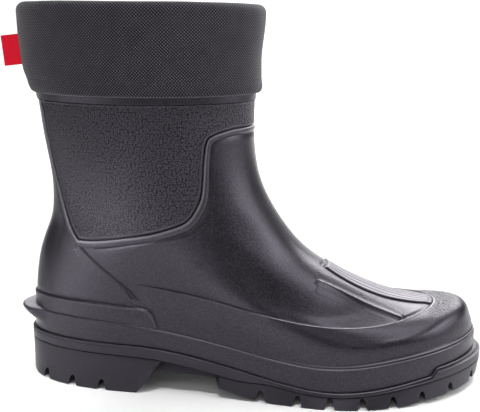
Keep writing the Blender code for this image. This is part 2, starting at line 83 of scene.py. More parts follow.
# Studio: name, place, the point that it faces, size, watts
SOFTBOXES = (
    ("right_side", (1200, -120, 500), (200, 0, 160), (600, 700), 3.4),
    ("right_near", (1150, -330, 450), (200, 0, 160), (500, 700), 1.6),
    ("right_high", (1150, -150, 820), (200, 0, 160), (600, 400), 2.3),
    ("top_strip", (480, -130, 1150), (300, 0, 60), (900, 400), 4.8),
    ("top_left", (-150, -250, 1150), (100, 0, 100), (900, 500), 0.3),
    ("back_right", (680, 760, 760), (250, 0, 80), (700, 450), 9.8),
    ("back_low", (330, 1300, 480), (300, 0, 70), (900, 300), 2.4),
    ("left_low", (-300, -290, 115), (60, -30, 100), (380, 220), 0.28),
    ("front_fill", (-100, -1500, 1100), (130, 0, 110), (2200, 1200), 6.5),
    ("backdrop_wash", (150, 900, 900), (150, 2300, 240), (2200, 400), 40.0),
)
# Soft pools of light: name, place, the point that it faces, cone in degrees, watts
FLOOR_POOLS = (
    ("pool_heel", (-215, -215, 620), (-195, -190, 0), 26.0, 42.0),
    ("pool_left", (-120, -330, 700), (-110, -235, 0), 20.0, 12.0),
    ("pool_front", (-10, -330, 700), (0, -235, 0), 20.0, 6.0),
    ("pool_right", (110, -330, 700), (110, -235, 0), 20.0, 16.0),
    ("pool_behind", (-230, 150, 900), (-70, 150, 0), 20.0, 9.0),
    ("pool_far", (-290, 380, 900), (-120, 380, 0), 26.0, 5.0),
    ("pool_spur", (-190, -30, 900), (-40, -20, 0), 15.0, 15.0),
    ("pool_sole", (90, -330, 900), (90, -100, 0), 40.0, 11.0),
    ("quarter_glow", (-300, -290, 125), (57, -47, 119), 8.5, 8.0),
)
POOL_BLEND = 0.8
POOL_LAMP = 30.0         # radius of a pool's lamp
WORLD_STRENGTH = 0.1
FLOOR_COLOUR = (0.95, 0.95, 0.955, 1.0)
FLOOR_FRONT = -2500.0
FLOOR_BACK = 1700.0
FLOOR_REACH = 3300.0
SWEEP_RADIUS = 1000.0
SWEEP_TOP = 3500.0

# Sizes of the boot
WALL = 3.2
FIT_GAP = 0.3
INSOLE_THICKNESS = 4.0
INSOLE_LEVEL = 0.1
LINING_ENDS = (0.3, 0.12)        # levels of the lining's last two rows
# Side of the foot's middle line at stations, and the levels over which the upper leaves it
SWING = ((0.0, 1.0), (60.0, -0.3), (105.0, -3.5), (150.0, -4.4),
         (200.0, -2.0), (250.0, 0.5), (285.0, 2.2), (312.0, 6.5))
SWING_LEVELS = (4, 9)

SHARES = np.linspace(0.0, 1.0, 7)
Section = namedtuple("Section", "name back front heights widths")
UPPER = (
    Section("bottom edge", 4.2, 302.5, (47, 47.3, 41.6, 32.1, 25.8, 31, 35.8),
            (47, 44, 36.8, 40.5, 53.2, 62, 60)),
    Section("side", 4.3, 299.8, (55, 55.5, 50.5, 41.5, 35.5, 41, 45.5),
            (46.5, 44, 37.5, 41.5, 53, 62, 60)),
    Section("shoulder", 4.6, 293, (63, 64, 60.5, 51.5, 44, 43.8, 53.2),
            (45.5, 43.5, 38, 42, 51.5, 60, 58)),
    Section("rand line", 5.8, 275.5, (73, 74, 71.2, 63.6, 53.2, 49.0, 54.0),
            (44, 43, 38.5, 41.5, 48, 54, 55)),
    Section("vamp", 8.4, 242, (86, 87, 84.5, 78, 66, 57, 60),
            (42, 42, 39.5, 41, 44, 48, 50)),
    Section("low instep", 13.3, 208, (100, 101, 99.5, 94, 84.5, 77, 76.9),
            (40, 41, 41, 41.5, 42.5, 45, 48)),
    Section("instep", 17.7, 184.6, (113, 114, 113, 109, 102, 96, 94),
            (38, 41, 42.5, 43, 43, 43.5, 45)),
    Section("ankle", 18.9, 166, (131, 132, 131.5, 129.5, 125.5, 121, 119),
            (38, 41.5, 43.5, 44, 44, 43.5, 43.5)),
    Section("low shaft", 17.2, 156, (148, 148.5, 148, 147.5, 146, 144.5, 143.5),
            (39.5, 42, 44, 44.5, 44.5, 44, 43.5)),
    Section("shaft", 13.8, 153, (170,) * 7, (42, 43.5, 44.5, 45, 45, 44.5, 44)),
    Section("collar line", 11.7, 153.2, (188.7,) * 7, (44, 44.5, 45, 45, 45, 45, 44.5)),
    Section("under cuff", 8.4, 153.4, (209,) * 7, (45, 45.5, 46, 46, 46, 46, 45.5)),
    Section("rim", 5.2, 155.2, (246,) * 7, (47, 47.5, 48, 48, 48, 48, 47.5)),
)
TOP_LEVEL = len(UPPER) - 1
UPPER_ROWS = np.array([(s.back, s.front, *s.heights, *s.widths) for s in UPPER], float)

Outline = namedtuple("Outline", "name back front widths")
MIDSOLE_SIDE = Outline("midsole side", 2.3, 304.8, (49, 46, 38.8, 42.5, 55.2, 64, 62))
TREAD_LINE = ((0, 31.8), (35, 31.7), (70, 31.4), (88, 30.5), (121, 25.2), (154, 18), (186, 11.4),
              (208, 9.7), (230, 11.5), (265, 16.8), (310, 19.5))
BUMPER = (270.5, 274.0, 4.6)     # stations where the tread line steps up at the toe, and how far
# The midsole's section, going up: share of its height, lift, inset, shares of the spur's reach and lift
MIDSOLE_SECTION = (
    (0, 0, 9, 0, 0), (0, 0, 0.7, 0, 0), (0, 0.06, 0.3, 0, 0), (0, 0.25, 0.1, 0, 0), (0, 0.6, 0, 0, 0),
    (0.25, 0, 0, 0, 0), (0.34, 0, 0, 0.05, 0), (0.42, 0, 0, 0.17, 0.1), (0.5, 0, 0, 0.34, 0.3),
    (0.58, 0, 0, 0.52, 0.4), (0.66, 0, 0, 0.69, 0.5), (0.75, 0, 0, 0.85, 0.6), (0.84, 0, 0, 0.95, 0.7),
    (1, -1.5, 0.0, 1, 0.8), (1, -1.0, 0.05, 1, 0.9), (1, -0.6, 0.2, 0.99, 0.95), (1, -0.25, 0.5, 0.96, 1),
    (1, -0.05, 0.95, 0.9, 1), (1, 0, 1.5, 0.75, 1), (1, 0, 2.2, 0.45, 1), (1, 0, 3.2, 0, 1),
    (1, 0, 9, 0, 1))
MIDSOLE_SHELF = (0.9, 3.0)       # insets of the spur's top, which is painted light as a highlight
MIDSOLE_LIP = (0.5, 0.5)         # inset of the top edge that carries a painted highlight, and reach
SOLE_MIDDLE = 152.0              # a station inside all the sole's outlines
SOLE_RIM = Outline("outsole rim", 0.3, 309.5, (50.5, 47.2, 40.2, 43.9, 56.6, 65.5, 64))
SOLE_FLOOR = Outline("outsole tread", 1.0, 308, (60, 51.5, 43, 45.5, 60.5, 68, 66))
TREAD_BOTTOM = ((0, 1.6), (6, 0), (79, 0), (89.5, 12.6), (131, 10.8), (133.5, 6.8), (150, 2.4), (168, 0),
                (228, 0), (250, 1), (275, 3), (300, 5), (310, 6))
RIM_HEIGHT = 7.3
RIM_TAPER = (140.0, 172.0, 2.6)  # stations where the rim gets thinner, and its height after them
RIM_INSET = 0.9
TOE_LEDGE = 1.7           # the bumper's lip stands back this much
TOE_LEDGE_RUN = (232.0, 276.0)
ARCH_INSET = 8.0
INSET_FADE = 12.0        # insets fade out this close to the middle line
# Stations where the arch's inset starts, is full, starts to fade and ends
ARCH_UNDER_RIM = (95.0, 98.0, 130.5, 134.0)
ARCH_BOTTOM = (88.5, 91.0, 130.5, 133.5)
ARCH_STEP = 0.7          # between the columns at its rear end
HEEL_CUTS = (14.5, 34.4, 55.3)
FOREFOOT_CUTS = (160.5, 184.0, 204.5, 225.5, 245.0, 264.0, 283.5, 300.5)
HEEL_BARS = (44.0,)
FOREFOOT_BARS = (172.0, 194.0, 215.0, 236.0, 257.0)
HEEL_CHANNEL = Outline("heel channel", 19, 66, (26, 26, 25, 25, 25, 27, 30))
FOREFOOT_CHANNEL = Outline("forefoot channel", 152, 291, (30, 34, 38, 41, 43, 45, 44))
CHANNEL_WIDTH = 5.0
LUG_DEPTH = 5.2
LUG_GAP = 4.2
LUG_LENGTH = 17.0
CUT_OVERRUN = 6.0
BAR_RISE = 0.4
LUG_TAPER = 0.5
CHANNEL_TAPER = 0.4
# Rounded edges of the outsole, from the tread up: lift, inset
TREAD_EDGE = ((0.0, 0.9), (0.12, 0.45), (0.45, 0.12), (0.9, 0.0))
RIM_UNDERSIDE = ((-1.2, 0.0), (-0.8, 0.15), (-0.5, 0.8), (-0.1, 0.9))
RIM_LOW_EDGE = ((0.1, 0.4), (0.3, 0.08), (0.7, 0.0))
# and of its top: lift, inset, share of the toe's ledge
RIM_TOP_EDGE = ((-2.5, 0.0, 0), (-2.1, 0.06, 0.02), (-1.85, 0.3, 0.5), (-1.5, 0.36, 1), (-1.15, 0.1, 1),
                (-0.75, 0.05, 1), (-0.4, 0.15, 1), (-0.12, 0.42, 1), (0.0, 0.9, 1))
# Edges of the rim that carry painted highlights: how light, distance under its top, reach
RIM_LIPS = ((1.0, 0.25, 0.3), (0.6, 2.1, 0.3))
SHARP_ANGLE = 35.0
# A notch between two edge lugs: height over the tread, half width
NOTCH = ((-6.0, 4.6), (0.0, 4.2), (0.5, 3.5), (1.3, 2.9), (3.0, 2.35), (5.2, 1.9), (6.4, 1.4), (7.0, 0.75))
SPUR_REACH = 6.5
SPUR_CORNERS = (0.29, 0.43)      # turns over which its ends round off
SPUR_HIGHLIGHT = 0.6          # the spur's top is painted light as a highlight
SPUR_TIP = 2.0           # and is rounded out this much further
SPUR_LIFT = 0.5          # the spur's top stands this much over the midsole's

# Raised lines on the skin
RAND_LEVEL = 3.0
RAND_STEP = 1.0
RAND_FADE = (80.0, 125.0)
FOREPART = (150.0, 190.0)        # stations over which the rand grows bolder
RAND_EDGE_REAR = (-0.5, 0.3)     # where its step starts and ends over its line, behind
RAND_EDGE_FORE = (-0.3, 2.9)     # and in the forepart
SHAFT_LEVEL = 9.0
COLLAR_LEVEL = 10.0
COLLAR_STEP = 0.8
COLLAR_EDGE = (0.1, 0.8)
# Beads and grooves along these lines: height, distance over the line, reach
RAND_BEAD = (0.4, -0.3, 0.9)
RAND_GROOVE = (-0.8, 0.55, 0.75)
RAND_GROOVE_START = (78.0, 88.0)
BOTTOM_BEADS = ((0.55, 0.9, 0.85), (-0.35, 2.0, 0.7))
BOTTOM_BEAD_START = (190.0, 250.0)
COLLAR_BEADS = ((0.5, -0.45, 0.65), (-0.45, 0.4, 0.45))
# Lips painted light as highlights: how light, distance over the line, reach
RAND_LIP = (1.0, -0.3, 0.85)
RAND_LIP_START = (95.0, 130.0)
BOTTOM_LIP = (0.35, 1.0, 0.5)
BOTTOM_LIP_START = (150.0, 260.0)
COLLAR_LIP = (0.14, -0.35, 0.4)
# How light the painted highlights are along the boot: at first, then each change with the stations where it
# starts and ends
RAND_HIGHLIGHT = (0.07, (0.83, *FOREPART))
MIDSOLE_HIGHLIGHT = (0.09, (0.22, 150.0, 230.0))
OUTSOLE_HIGHLIGHT = (0.06, (0.26, 150.0, 230.0))
HEEL_BAND_STEP = 1.2
HEEL_BAND_EDGE = ((93.0, 44.2), (92.0, 47.5), (90.4, 51.2), (87.6, 55.0), (82.0, 56.9), (74.0, 57.4))
HEEL_BAND_LEVEL = 1.32
# Grooves beside the raised strips, on the panel's side of them, as the photo shows them: station, height
BACK_GROOVE = ((17.3, 188.0), (20.2, 180.0), (24.9, 146.0), (32.0, 118.4), (40.9, 99.9))
QUARTER_GROOVE = ((40.9, 99.9), (58.9, 101.8), (85.6, 107.3), (101.7, 112.0), (112.7, 116.7),
                  (118.5, 124.0), (121.9, 132.9), (123.0, 147.0), (124.0, 161.5), (125.3, 166.4),
                  (129.1, 169.6), (138.9, 172.5), (145.7, 172.9))
COUNTER_LINE = ((41.6, 96.6), (51.6, 87.2), (63.6, 77.6), (72.8, 69.7), (81.6, 57.4))
VAMP_RIB = ((195, -26), (205, -23.8), (218, -22.6), (234.5, -23.5), (247, -27), (257.5, -34))
VAMP_PANEL_HEIGHT = 1.2
CENTRE_STRIP_HEIGHT = 2.6
PANEL_RUN = 0.9          # levels over which the panel rises from its rear end
COLLAR_SIZE = 18.8       # millimetres for a level at the collar line
BOTTOM_SIZE = 8.4        # and at the bottom edge
TOE_SQUARE = 1.7         # the toe's end is this much squarer than a plain curve
TOE_END_LEVEL = (2.15, 1.2)      # the level of that and its reach in levels
TOE_END_TURN = 1.1               # and in turns
CAP_LUMPS = 0.2          # height of the lumps on the toe cap's rough top
CAP_START = (262.0, 278.0)
CAP_LEVELS = (1.9, 2.4)
CAP_END = (-1.5, 0.0)    # distances over the rand line where the rough top fades out
PANEL_END = (0.3, 5.0)   # and where the vamp panel rises in front
# Soft creases: station, height, half length up the boot, half width, depth
CREASES = ((22.0, 99.0, 26.0, 9.0, 0.9), (150.0, 108.0, 20.0, 16.0, 0.5))

# The cuff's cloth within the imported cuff, from the turned-under hem up, over the rim and down inside:
# level, distance from the wall, lift over that level
CUFF_CLOTH_PATH = (
    (11.02, 2.0, 0), (10.7, 2.1, 0), (10.44, 2.2, 0), (10.36, 3.3, -0.5), (10.44, 4.2, 0), (10.66, 4.5, 0),
    (10.72, 4.4, 0), (10.78, 4.55, 0), (11.2, 4.8, 0), (11.7, 4.7, 0), (11.92, 4.4, 0), (12, 3.6, 1.4),
    (12, 1.6, 3.1), (12, -1.4, 3.5), (12, -4.2, 2.6), (12, -5.6, 0.2), (11.6, -5.9, 0), (11.0, -5.8, 0),
    (10.45, -5.6, 0))
CUFF_CLOTH = 0.9
CUFF_GIRTH_ROW = 40       # the ring of the cloth that gives its width
# Where the cuff lies closer and dips, at the front and the back: reach in turns, how far in, how far down
CUFF_FRONT = (1.2, 1.5, 1.3)
CUFF_BACK = (1.0, 1.2, 0.9)
CUFF_FRONT_LEVEL = (11.15, 0.75)
CUFF_BACK_LEVELS = (10.4, 11.2)
CUFF_DIP_LEVELS = (11.6, 12.0)
# Soft unevenness of hand-folded cloth: height, waves round the cuff, phase
CUFF_WAVES = ((0.25, 2, 0.6), (0.225, 3, 1.9), (0.15, 7, 0.4))
CUFF_WAVE_PLACE = (0.38, 0.3)   # its middle and reach, as shares of the cloth's length
HEM_SEAM_ROW = 6          # row of the cloth's path where the hem is sewn
STITCH_PITCH = 3.0
STITCH_LENGTH = 2.3
STITCH_THICKNESS = 0.28
STITCH_SUNK = 0.05
STITCH_RINGS = 7
STITCH_SIDES = 6
LABEL_STAND = 5.2
LABEL_REACH = 12.0
LABEL_LEVELS = (11.1, 11.6)
LABEL_DROP = 1.6
LABEL_THICKNESS = 1.2
LABEL_BEND = 0.5
LABEL_BEND_TURN = 2.4
LABEL_ROUNDING = 10      # the higher, the squarer its folded end
LABEL_LONGER = 1.6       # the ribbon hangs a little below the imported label
LABEL_FURTHER = 1.6      # and reaches a little further out


def spline(knots, values, at):
    """Natural cubic spline through values at knots. Values may have several columns."""
    knots = np.asarray(knots, float)
    values = np.asarray(values, float)
    at = np.asarray(at, float)
    count = len(knots)
    run = np.diff(knots)
    system = np.eye(count)
    bend = np.zeros_like(values)
    for i in range(1, count - 1):
        system[i, i - 1:i + 2] = run[i - 1], 2 * (run[i - 1] + run[i]), run[i]
        bend[i] = 6 * ((values[i + 1] - values[i]) / run[i] - (values[i] - values[i - 1]) / run[i - 1])
    curve = np.linalg.solve(system, bend)
    i = np.clip(np.searchsorted(knots, at) - 1, 0, count - 2)
    shape = at.shape + (1,) * (values.ndim - 1)
    h = run[i].reshape(shape)
    right = ((at - knots[i]) / run[i]).reshape(shape)
    left = 1 - right
    straight = left * values[i] + right * values[i + 1]
    return straight + h * h / 6 * ((left ** 3 - left) * curve[i] + (right ** 3 - right) * curve[i + 1])


def ease(value, start, end):
    """0 before start, 1 after end, with a smooth rise between."""
    share = np.clip((np.asarray(value, float) - start) / (end - start), 0, 1)
    return share * share * (3 - 2 * share)


def bump_at(value, centre, reach):
    """1 at the centre, falling smoothly to 0 at the reach."""
    share = np.clip(np.abs(np.asarray(value, float) - centre) / reach, 0, 1)
    return (1 - share * share) ** 2


def beads(value, *shapes):
    """Beads and grooves side by side, each of a height, centre and reach."""
    return sum(height * bump_at(value, centre, reach) for height, centre, reach in shapes)


def vary(at, first, *changes):
    """A value that starts as the first and changes smoothly, each change with its start and end."""
    return first + sum(by * ease(at, start, end) for by, start, end in changes)


def run_along(points):
    """Length of a path from its start to each of its points."""
    return np.concatenate([[0], np.cumsum(np.linalg.norm(np.diff(points, axis=0), axis=1))])


def round_turns(count):
    """Turns evenly spaced all the way round."""
    return np.arange(count) * 2 * math.pi / count


def outer_turn(turn):
    """The turn on the outer side that faces one on the inner side."""
    return np.where(turn > math.pi, 2 * math.pi - turn, turn)


def swing(station):
    """Side of the foot's curved middle line."""
    return spline(*np.transpose(SWING), station)


def plan(outline, turns):
    """Station and side of an outline at the given turns."""
    share = (1 - np.cos(turns)) / 2
    station = outline.back + (outline.front - outline.back) * share
    width = spline(SHARES, outline.widths, share)
    return station, swing(station) - width * np.sin(turns)


def upper_points(level, turn):
    """Points of the plain upper: station, side, height."""
    level, turn = np.broadcast_arrays(np.asarray(level, float), np.asarray(turn, float))
    rows = spline(np.arange(len(UPPER)), UPPER_ROWS, level)
    share = (1 - np.cos(turn)) / 2
    basis = spline(SHARES, np.eye(len(SHARES)), share)
    station = rows[..., 0] + (rows[..., 1] - rows[..., 0]) * share
    height = (basis * rows[..., 2:9]).sum(-1)
    width = (basis * rows[..., 9:]).sum(-1)
    side = (1 - ease(level, *SWING_LEVELS)) * swing(station) - width * np.sin(turn)
    return np.stack([station, side, height], axis=-1)


def upper_slopes(level, turn):
    """Change of a point of the plain upper with its turn and with its level."""
    step = SLOPE_STEP
    by_turn = (upper_points(level, turn + step) - upper_points(level, turn - step)) / (2 * step)
    by_level = (upper_points(level + step, turn) - upper_points(level - step, turn)) / (2 * step)
    return by_turn, by_level


def unit(vectors):
    return vectors / np.linalg.norm(vectors, axis=-1, keepdims=True)


def upper_normals(level, turn):
    return unit(np.cross(*upper_slopes(level, turn)))


def wall(level, turn, offset):
    """Points at a distance from the plain upper, positive outwards."""
    return upper_points(level, turn) + upper_normals(level, turn) * np.asarray(offset, float)[..., None]


def bed_height(station):
    """Height of the upper's bottom edge, where the midsole closes it."""
    edge = UPPER[0]
    share = np.clip((station - edge.back) / (edge.front - edge.back), 0, 1)
    return spline(SHARES, edge.heights, share)


def tread_line(station):
    """Height of the line between midsole and outsole."""
    start, end, rise = BUMPER
    return spline(*np.transpose(TREAD_LINE), station) + rise * ease(station, start, end)


SIDE_VIEW = [0, 2]
TOP_VIEW = [0, 1]


def locate(targets, axes):
    """Turn and level of points on the outer side, given two of their coordinates."""
    columns, rows = SEARCH_GRID
    turns, levels = np.meshgrid(np.linspace(SEARCH_MARGIN, math.pi - SEARCH_MARGIN, columns),
                                np.linspace(0, TOP_LEVEL, rows))
    grid = upper_points(levels, turns)[..., axes]
    found = []
    for target in np.asarray(targets, float):
        i = np.argmin(np.linalg.norm(grid - target, axis=-1))
        turn, level = turns.flat[i], levels.flat[i]
        for _ in range(SEARCH_ROUNDS):
            miss = target - upper_points(level, turn)[axes]
            slopes = np.stack([slope[axes] for slope in upper_slopes(level, turn)], 1)
            by = np.linalg.lstsq(slopes, miss, rcond=None)[0]
            turn, level = turn + by[0], level + by[1]
        found.append((turn, level))
    return np.array(found)


def smooth_path(points, spacing):
    """Evenly spaced turns and levels along a smooth curve through the given ones."""
    knots = np.arange(len(points))
    fine = spline(knots, points, np.linspace(0, knots[-1], PATH_STEPS))
    places = upper_points(fine[:, 1], fine[:, 0])
    length = run_along(places)
    at = np.linspace(0, length[-1], int(length[-1] / spacing) + 2)
    return np.stack([np.interp(at, length, fine[:, 0]), np.interp(at, length, fine[:, 1])], 1)


def mirrored(path):
    """The same path on the inner side, run the other way."""
    return np.stack([2 * math.pi - path[::-1, 0], path[::-1, 1]], 1)


# Meshes

def to_frame(points):
    """Points of the boot in the frame's metres."""
    return (np.asarray(points, float) - ORIGIN) * MM


def mesh_object(name, points, faces):
    mesh = bpy.data.meshes.new(name)
    mesh.from_pydata(to_frame(points).tolist(), [], faces)
    mesh.shade_smooth()
    obj = bpy.data.objects.new(name, mesh)
    bpy.context.scene.collection.objects.link(obj)
    return obj


def grid_faces(rows, columns, round_rows=False, round_columns=False):
    """Faces of a grid of points, closed round in either direction."""
    i, j = np.meshgrid(np.arange(rows if round_rows else rows - 1),
                       np.arange(columns if round_columns else columns - 1), indexing="ij")
    k = (i + 1) % rows
    m = (j + 1) % columns
    corners = (i * columns + j, i * columns + m, k * columns + m, k * columns + j)
    return np.stack(corners, -1).reshape(-1, 4).tolist()


def grid_object(name, points, round_rows=False, round_columns=False, flip=False):
    rows, columns = points.shape[:2]
    faces = grid_faces(rows, columns, round_rows, round_columns)
    if flip:
        faces = [face[::-1] for face in faces]
    return mesh_object(name, points.reshape(-1, 3), faces)


def mark(obj, name, values):
    """A number for each point of a mesh, which its material reads."""
    attribute = obj.data.attributes.new(name, "FLOAT", "POINT")
    attribute.data.foreach_set("value", np.asarray(values, np.float32).ravel())


def lay_flat(obj, across, along):
    """Where each point lies on the surface laid out flat, in millimetres."""
    attribute = obj.data.attributes.new("flat", "FLOAT_VECTOR", "POINT")
    flat = np.stack([np.ravel(across), np.ravel(along), np.zeros(across.size)], 1)
    attribute.data.foreach_set("vector", flat.astype(np.float32).ravel())


def lay_skin_flat(obj, level, turn):
    """Lays the skin out flat by its girth at the shaft and by its height."""
    turns = np.linspace(-math.pi, 3 * math.pi, GIRTH_STEPS)
    ring = upper_points(np.full(turns.shape, SHAFT_LEVEL), turns)
    lay_flat(obj, np.interp(turn, turns, run_along(ring)), upper_points(level, turn)[..., 2])


# Material nodes

VIOLET_CAST = (0.90, 0.83, 1.0, 1.0)     # the black foam's gloss is slightly violet
PAINTED_EDGE_HIGHLIGHT = (0.450, 0.415, 0.470)      # colour of the highlights painted on moulded edges
CLOUD_RANGE = (0.3, 0.7)                 # what most of a noise's values lie between
FOAM_COLOURS = ((0.0012, 0.0011, 0.0014), (0.0240, 0.0214, 0.0270))      # darkest and lightest
FOAM_ROUGHNESS = (0.28, 0.34)
FOAM_CLOUD = 22.0        # size of its broad unevenness
FOAM_GRAIN = 1.1
FOAM_SPECKLE = (0.4, 0.65)
FOAM_GRAIN_SHARE = 0.75  # how much of the colour follows the grain and not the clouds
FOAM_GRAIN_DEPTH = 0.1
FOAM_GLOSS = 0.5
CAP_GRAIN = 5.0          # the toe cap's rough top has a grain this many times as deep
PEBBLE = 1.3             # size of the quarter's pebbles
PEBBLE_DEPTH = 0.3
PEBBLE_EDGE = 0.7        # where a pebble's slope ends, as a share of its size
PEBBLE_RANDOMNESS = 0.8
QUARTER_GLOSS = 0.34     # the pebbled foam reflects less than the smooth
PEBBLE_DULLNESS = 0.12   # how much rougher the foam is in the gaps
PEBBLE_COLOURS = ((0.0012, 0.0011, 0.0014), (0.074, 0.067, 0.081))       # gaps painted dark as shade, and crowns lighter
RUBBER_COLOURS = ((0.0030, 0.0027, 0.0034), (0.0190, 0.0171, 0.0210))
RUBBER_ROUGHNESS = (0.36, 0.44)
RUBBER_CLOUD = 16.0
RUBBER_GRAIN = 0.9
RUBBER_GRAIN_DEPTH = 0.22
TWILL_COLOURS = ((0.0010, 0.0009, 0.0012), (0.1500, 0.1340, 0.1680))
TWILL_PITCH = 1.4
TWILL_RISING = 0.55      # share of the threads that rise to the right
TWILL_DEPTH = 0.3
TWILL_CLOUD = 9.0
TWILL_SHADES = (0.75, 1.0)
RIBBON_COLOURS = ((0.60, 0.005, 0.019), (0.71, 0.008, 0.026))
RIBBON_CLOUD = 3.0
RIBBON_PITCH = 0.7
RIBBON_DEPTH = 0.08
THREAD_COLOURS = ((0.010, 0.009, 0.011), (0.032, 0.029, 0.036))
THREAD_GRAIN = 0.5
LINING_COLOURS = ((0.020, 0.020, 0.022), (0.07, 0.07, 0.075))
LINING_FIBRE = 0.8
INSOLE_COLOURS = ((0.03, 0.03, 0.033), (0.09, 0.09, 0.095))
INSOLE_FIBRE = 0.7
FELT_DEPTH = 0.5


class Nodes:
    """Short ways to add and join the nodes of one material."""

    def __init__(self, name):
        self.material = bpy.data.materials.new(name)
        self.material.use_nodes = True
        self.tree = self.material.node_tree
        self.shader = self.tree.nodes["Principled BSDF"]

    def add(self, kind, **settings):
        node = self.tree.nodes.new(kind)
        for key, value in settings.items():
            if hasattr(node, key):
                setattr(node, key, value)
            else:
                self.put(node.inputs[key.replace("_", " ")], value)
        return node

    def put(self, socket, value):
        if isinstance(value, bpy.types.NodeSocket):
            self.tree.links.new(value, socket)
        else:
            socket.default_value = value

    def math(self, operation, a, b=0.0, c=0.0):
        node = self.add("ShaderNodeMath", operation=operation)
        for socket, value in zip(node.inputs, (a, b, c)):
            self.put(socket, value)
        return node.outputs[0]

    def between(self, value, low, high, to_low=0.0, to_high=1.0):
        node = self.add("ShaderNodeMapRange")
        limits = {"From Min": low, "From Max": high, "To Min": to_low, "To Max": to_high}
        for name, number in limits.items():
            node.inputs[name].default_value = number
        self.put(node.inputs["Value"], value)
        return node.outputs["Result"]

    def noise(self, where, size, detail=2.0):
        """Noise with spots of a size in millimetres."""
        node = self.add("ShaderNodeTexNoise", Scale=1.0 / (size * MM), Detail=detail, Vector=where)
        return node.outputs["Fac"]

    def mix(self, share, low, high):
        node = self.add("ShaderNodeMix", data_type="RGBA")
        self.put(node.inputs["Factor"], share)
        for name, colour in (("A", low), ("B", high)):
            self.put(node.inputs[name], (*colour, 1.0) if isinstance(colour, tuple) else colour)
        return node.outputs["Result"]

    def bump(self, height, depth, before=None):
        """Roughens the surface by a height of 0 to 1, that deep in millimetres."""
        node = self.add("ShaderNodeBump", Distance=depth * MM, Height=height)
        if before is not None:
            self.put(node.inputs["Normal"], before)
        return node.outputs["Normal"]

    def point(self):
        return self.add("ShaderNodeTexCoord").outputs["Object"]

    def attribute(self, name, output="Fac"):
        return self.add("ShaderNodeAttribute", attribute_name=name).outputs[output]

    def set(self, **values):
        for key, value in values.items():
            self.put(self.shader.inputs[key.replace("_", " ")], value)


def make_foam(name, grained, gloss=FOAM_GLOSS):
    """Satin black moulded foam with a fine grain, and pebbled where a mesh is marked so."""
    n = Nodes(name)
    where = n.point()
    cloud = n.noise(where, FOAM_CLOUD, 3.0)
    roughness = n.between(cloud, *CLOUD_RANGE, *FOAM_ROUGHNESS)
    fine = n.noise(where, FOAM_GRAIN)
    speckle = n.math("MULTIPLY_ADD", n.between(fine, *FOAM_SPECKLE), FOAM_GRAIN_SHARE,
                     n.math("MULTIPLY", cloud, 1 - FOAM_GRAIN_SHARE))
    colour = n.mix(speckle, *FOAM_COLOURS)
    if grained:
        fine = n.math("MULTIPLY", fine, n.between(n.attribute("rough"), 0, 1, 1.0, CAP_GRAIN))
    normal = n.bump(fine, FOAM_GRAIN_DEPTH)
    if grained:
        pebbled = n.attribute("pebbled")
        cells = n.add("ShaderNodeTexVoronoi", voronoi_dimensions="2D", Scale=1.0 / PEBBLE,
                      Randomness=PEBBLE_RANDOMNESS, Vector=n.attribute("flat", "Vector"))
        grains = n.between(cells.outputs["Distance"], 0.0, PEBBLE_EDGE, 1.0, 0.0)
        normal = n.bump(n.math("MULTIPLY", grains, pebbled), PEBBLE_DEPTH, normal)
        gaps = n.math("MULTIPLY", n.math("SUBTRACT", 1.0, grains), pebbled)
        roughness = n.math("MULTIPLY_ADD", gaps, PEBBLE_DULLNESS, roughness)
        # Gaps between the pebbles are painted dark as shade, and their crowns lighter
        pebbles = n.mix(n.math("POWER", grains, 2.0), *PEBBLE_COLOURS)
        colour = n.mix(pebbled, colour, pebbles)
    # Where the mesh's 'edge' marks say so, a highlight is painted into the colour
    n.set(Base_Color=n.mix(n.attribute("edge"), colour, PAINTED_EDGE_HIGHLIGHT), Roughness=roughness, Normal=normal,
          Specular_Tint=VIOLET_CAST, Specular_IOR_Level=gloss)
    return n.material


def make_rubber():
    n = Nodes("outsole_rubber")
    where = n.point()
    cloud = n.noise(where, RUBBER_CLOUD, 3.0)
    grain = n.noise(where, RUBBER_GRAIN)
    # Where the mesh's 'edge' marks say so, a highlight is painted into the colour
    n.set(Base_Color=n.mix(n.attribute("edge"), n.mix(grain, *RUBBER_COLOURS), PAINTED_EDGE_HIGHLIGHT),
          Roughness=n.between(cloud, *CLOUD_RANGE, *RUBBER_ROUGHNESS),
          Normal=n.bump(grain, RUBBER_GRAIN_DEPTH), Specular_Tint=VIOLET_CAST)
    return n.material


def make_twill():
    """Dark cloth of a fine diagonal weave, from each point's place on the flat cloth."""
    n = Nodes("cuff_textile")
    flat = n.add("ShaderNodeSeparateXYZ", Vector=n.attribute("flat", "Vector"))
    across, along = flat.outputs["X"], flat.outputs["Y"]
    wave = 2 * math.pi / TWILL_PITCH / math.sqrt(2)
    rising = n.math("SINE", n.math("MULTIPLY", n.math("ADD", across, along), wave))
    falling = n.math("SINE", n.math("MULTIPLY", n.math("SUBTRACT", across, along), wave))
    weave = n.math("ADD", n.math("MULTIPLY", rising, TWILL_RISING),
                   n.math("MULTIPLY", falling, 1 - TWILL_RISING))
    weave = n.between(weave, -1, 1)
    cloud = n.noise(n.point(), TWILL_CLOUD, 3.0)
    shade = n.math("MULTIPLY", n.math("POWER", weave, 3.0), n.between(cloud, *CLOUD_RANGE, *TWILL_SHADES))
    n.set(Base_Color=n.mix(shade, *TWILL_COLOURS), Roughness=0.8, Normal=n.bump(weave, TWILL_DEPTH),
          Specular_IOR_Level=0.15, Sheen_Weight=0.25, Sheen_Roughness=0.4)
    return n.material


def make_ribbon():
    """Plain red woven ribbon."""
    n = Nodes("label_ribbon")
    where = n.point()
    flat = n.add("ShaderNodeSeparateXYZ", Vector=where)
    ribs = n.math("SINE", n.math("MULTIPLY", flat.outputs["Z"], 2 * math.pi / (RIBBON_PITCH * MM)))
    n.set(Base_Color=n.mix(n.noise(where, RIBBON_CLOUD), *RIBBON_COLOURS), Roughness=0.7,
          Normal=n.bump(n.between(ribs, -1, 1), RIBBON_DEPTH), Specular_IOR_Level=0.12)
    return n.material


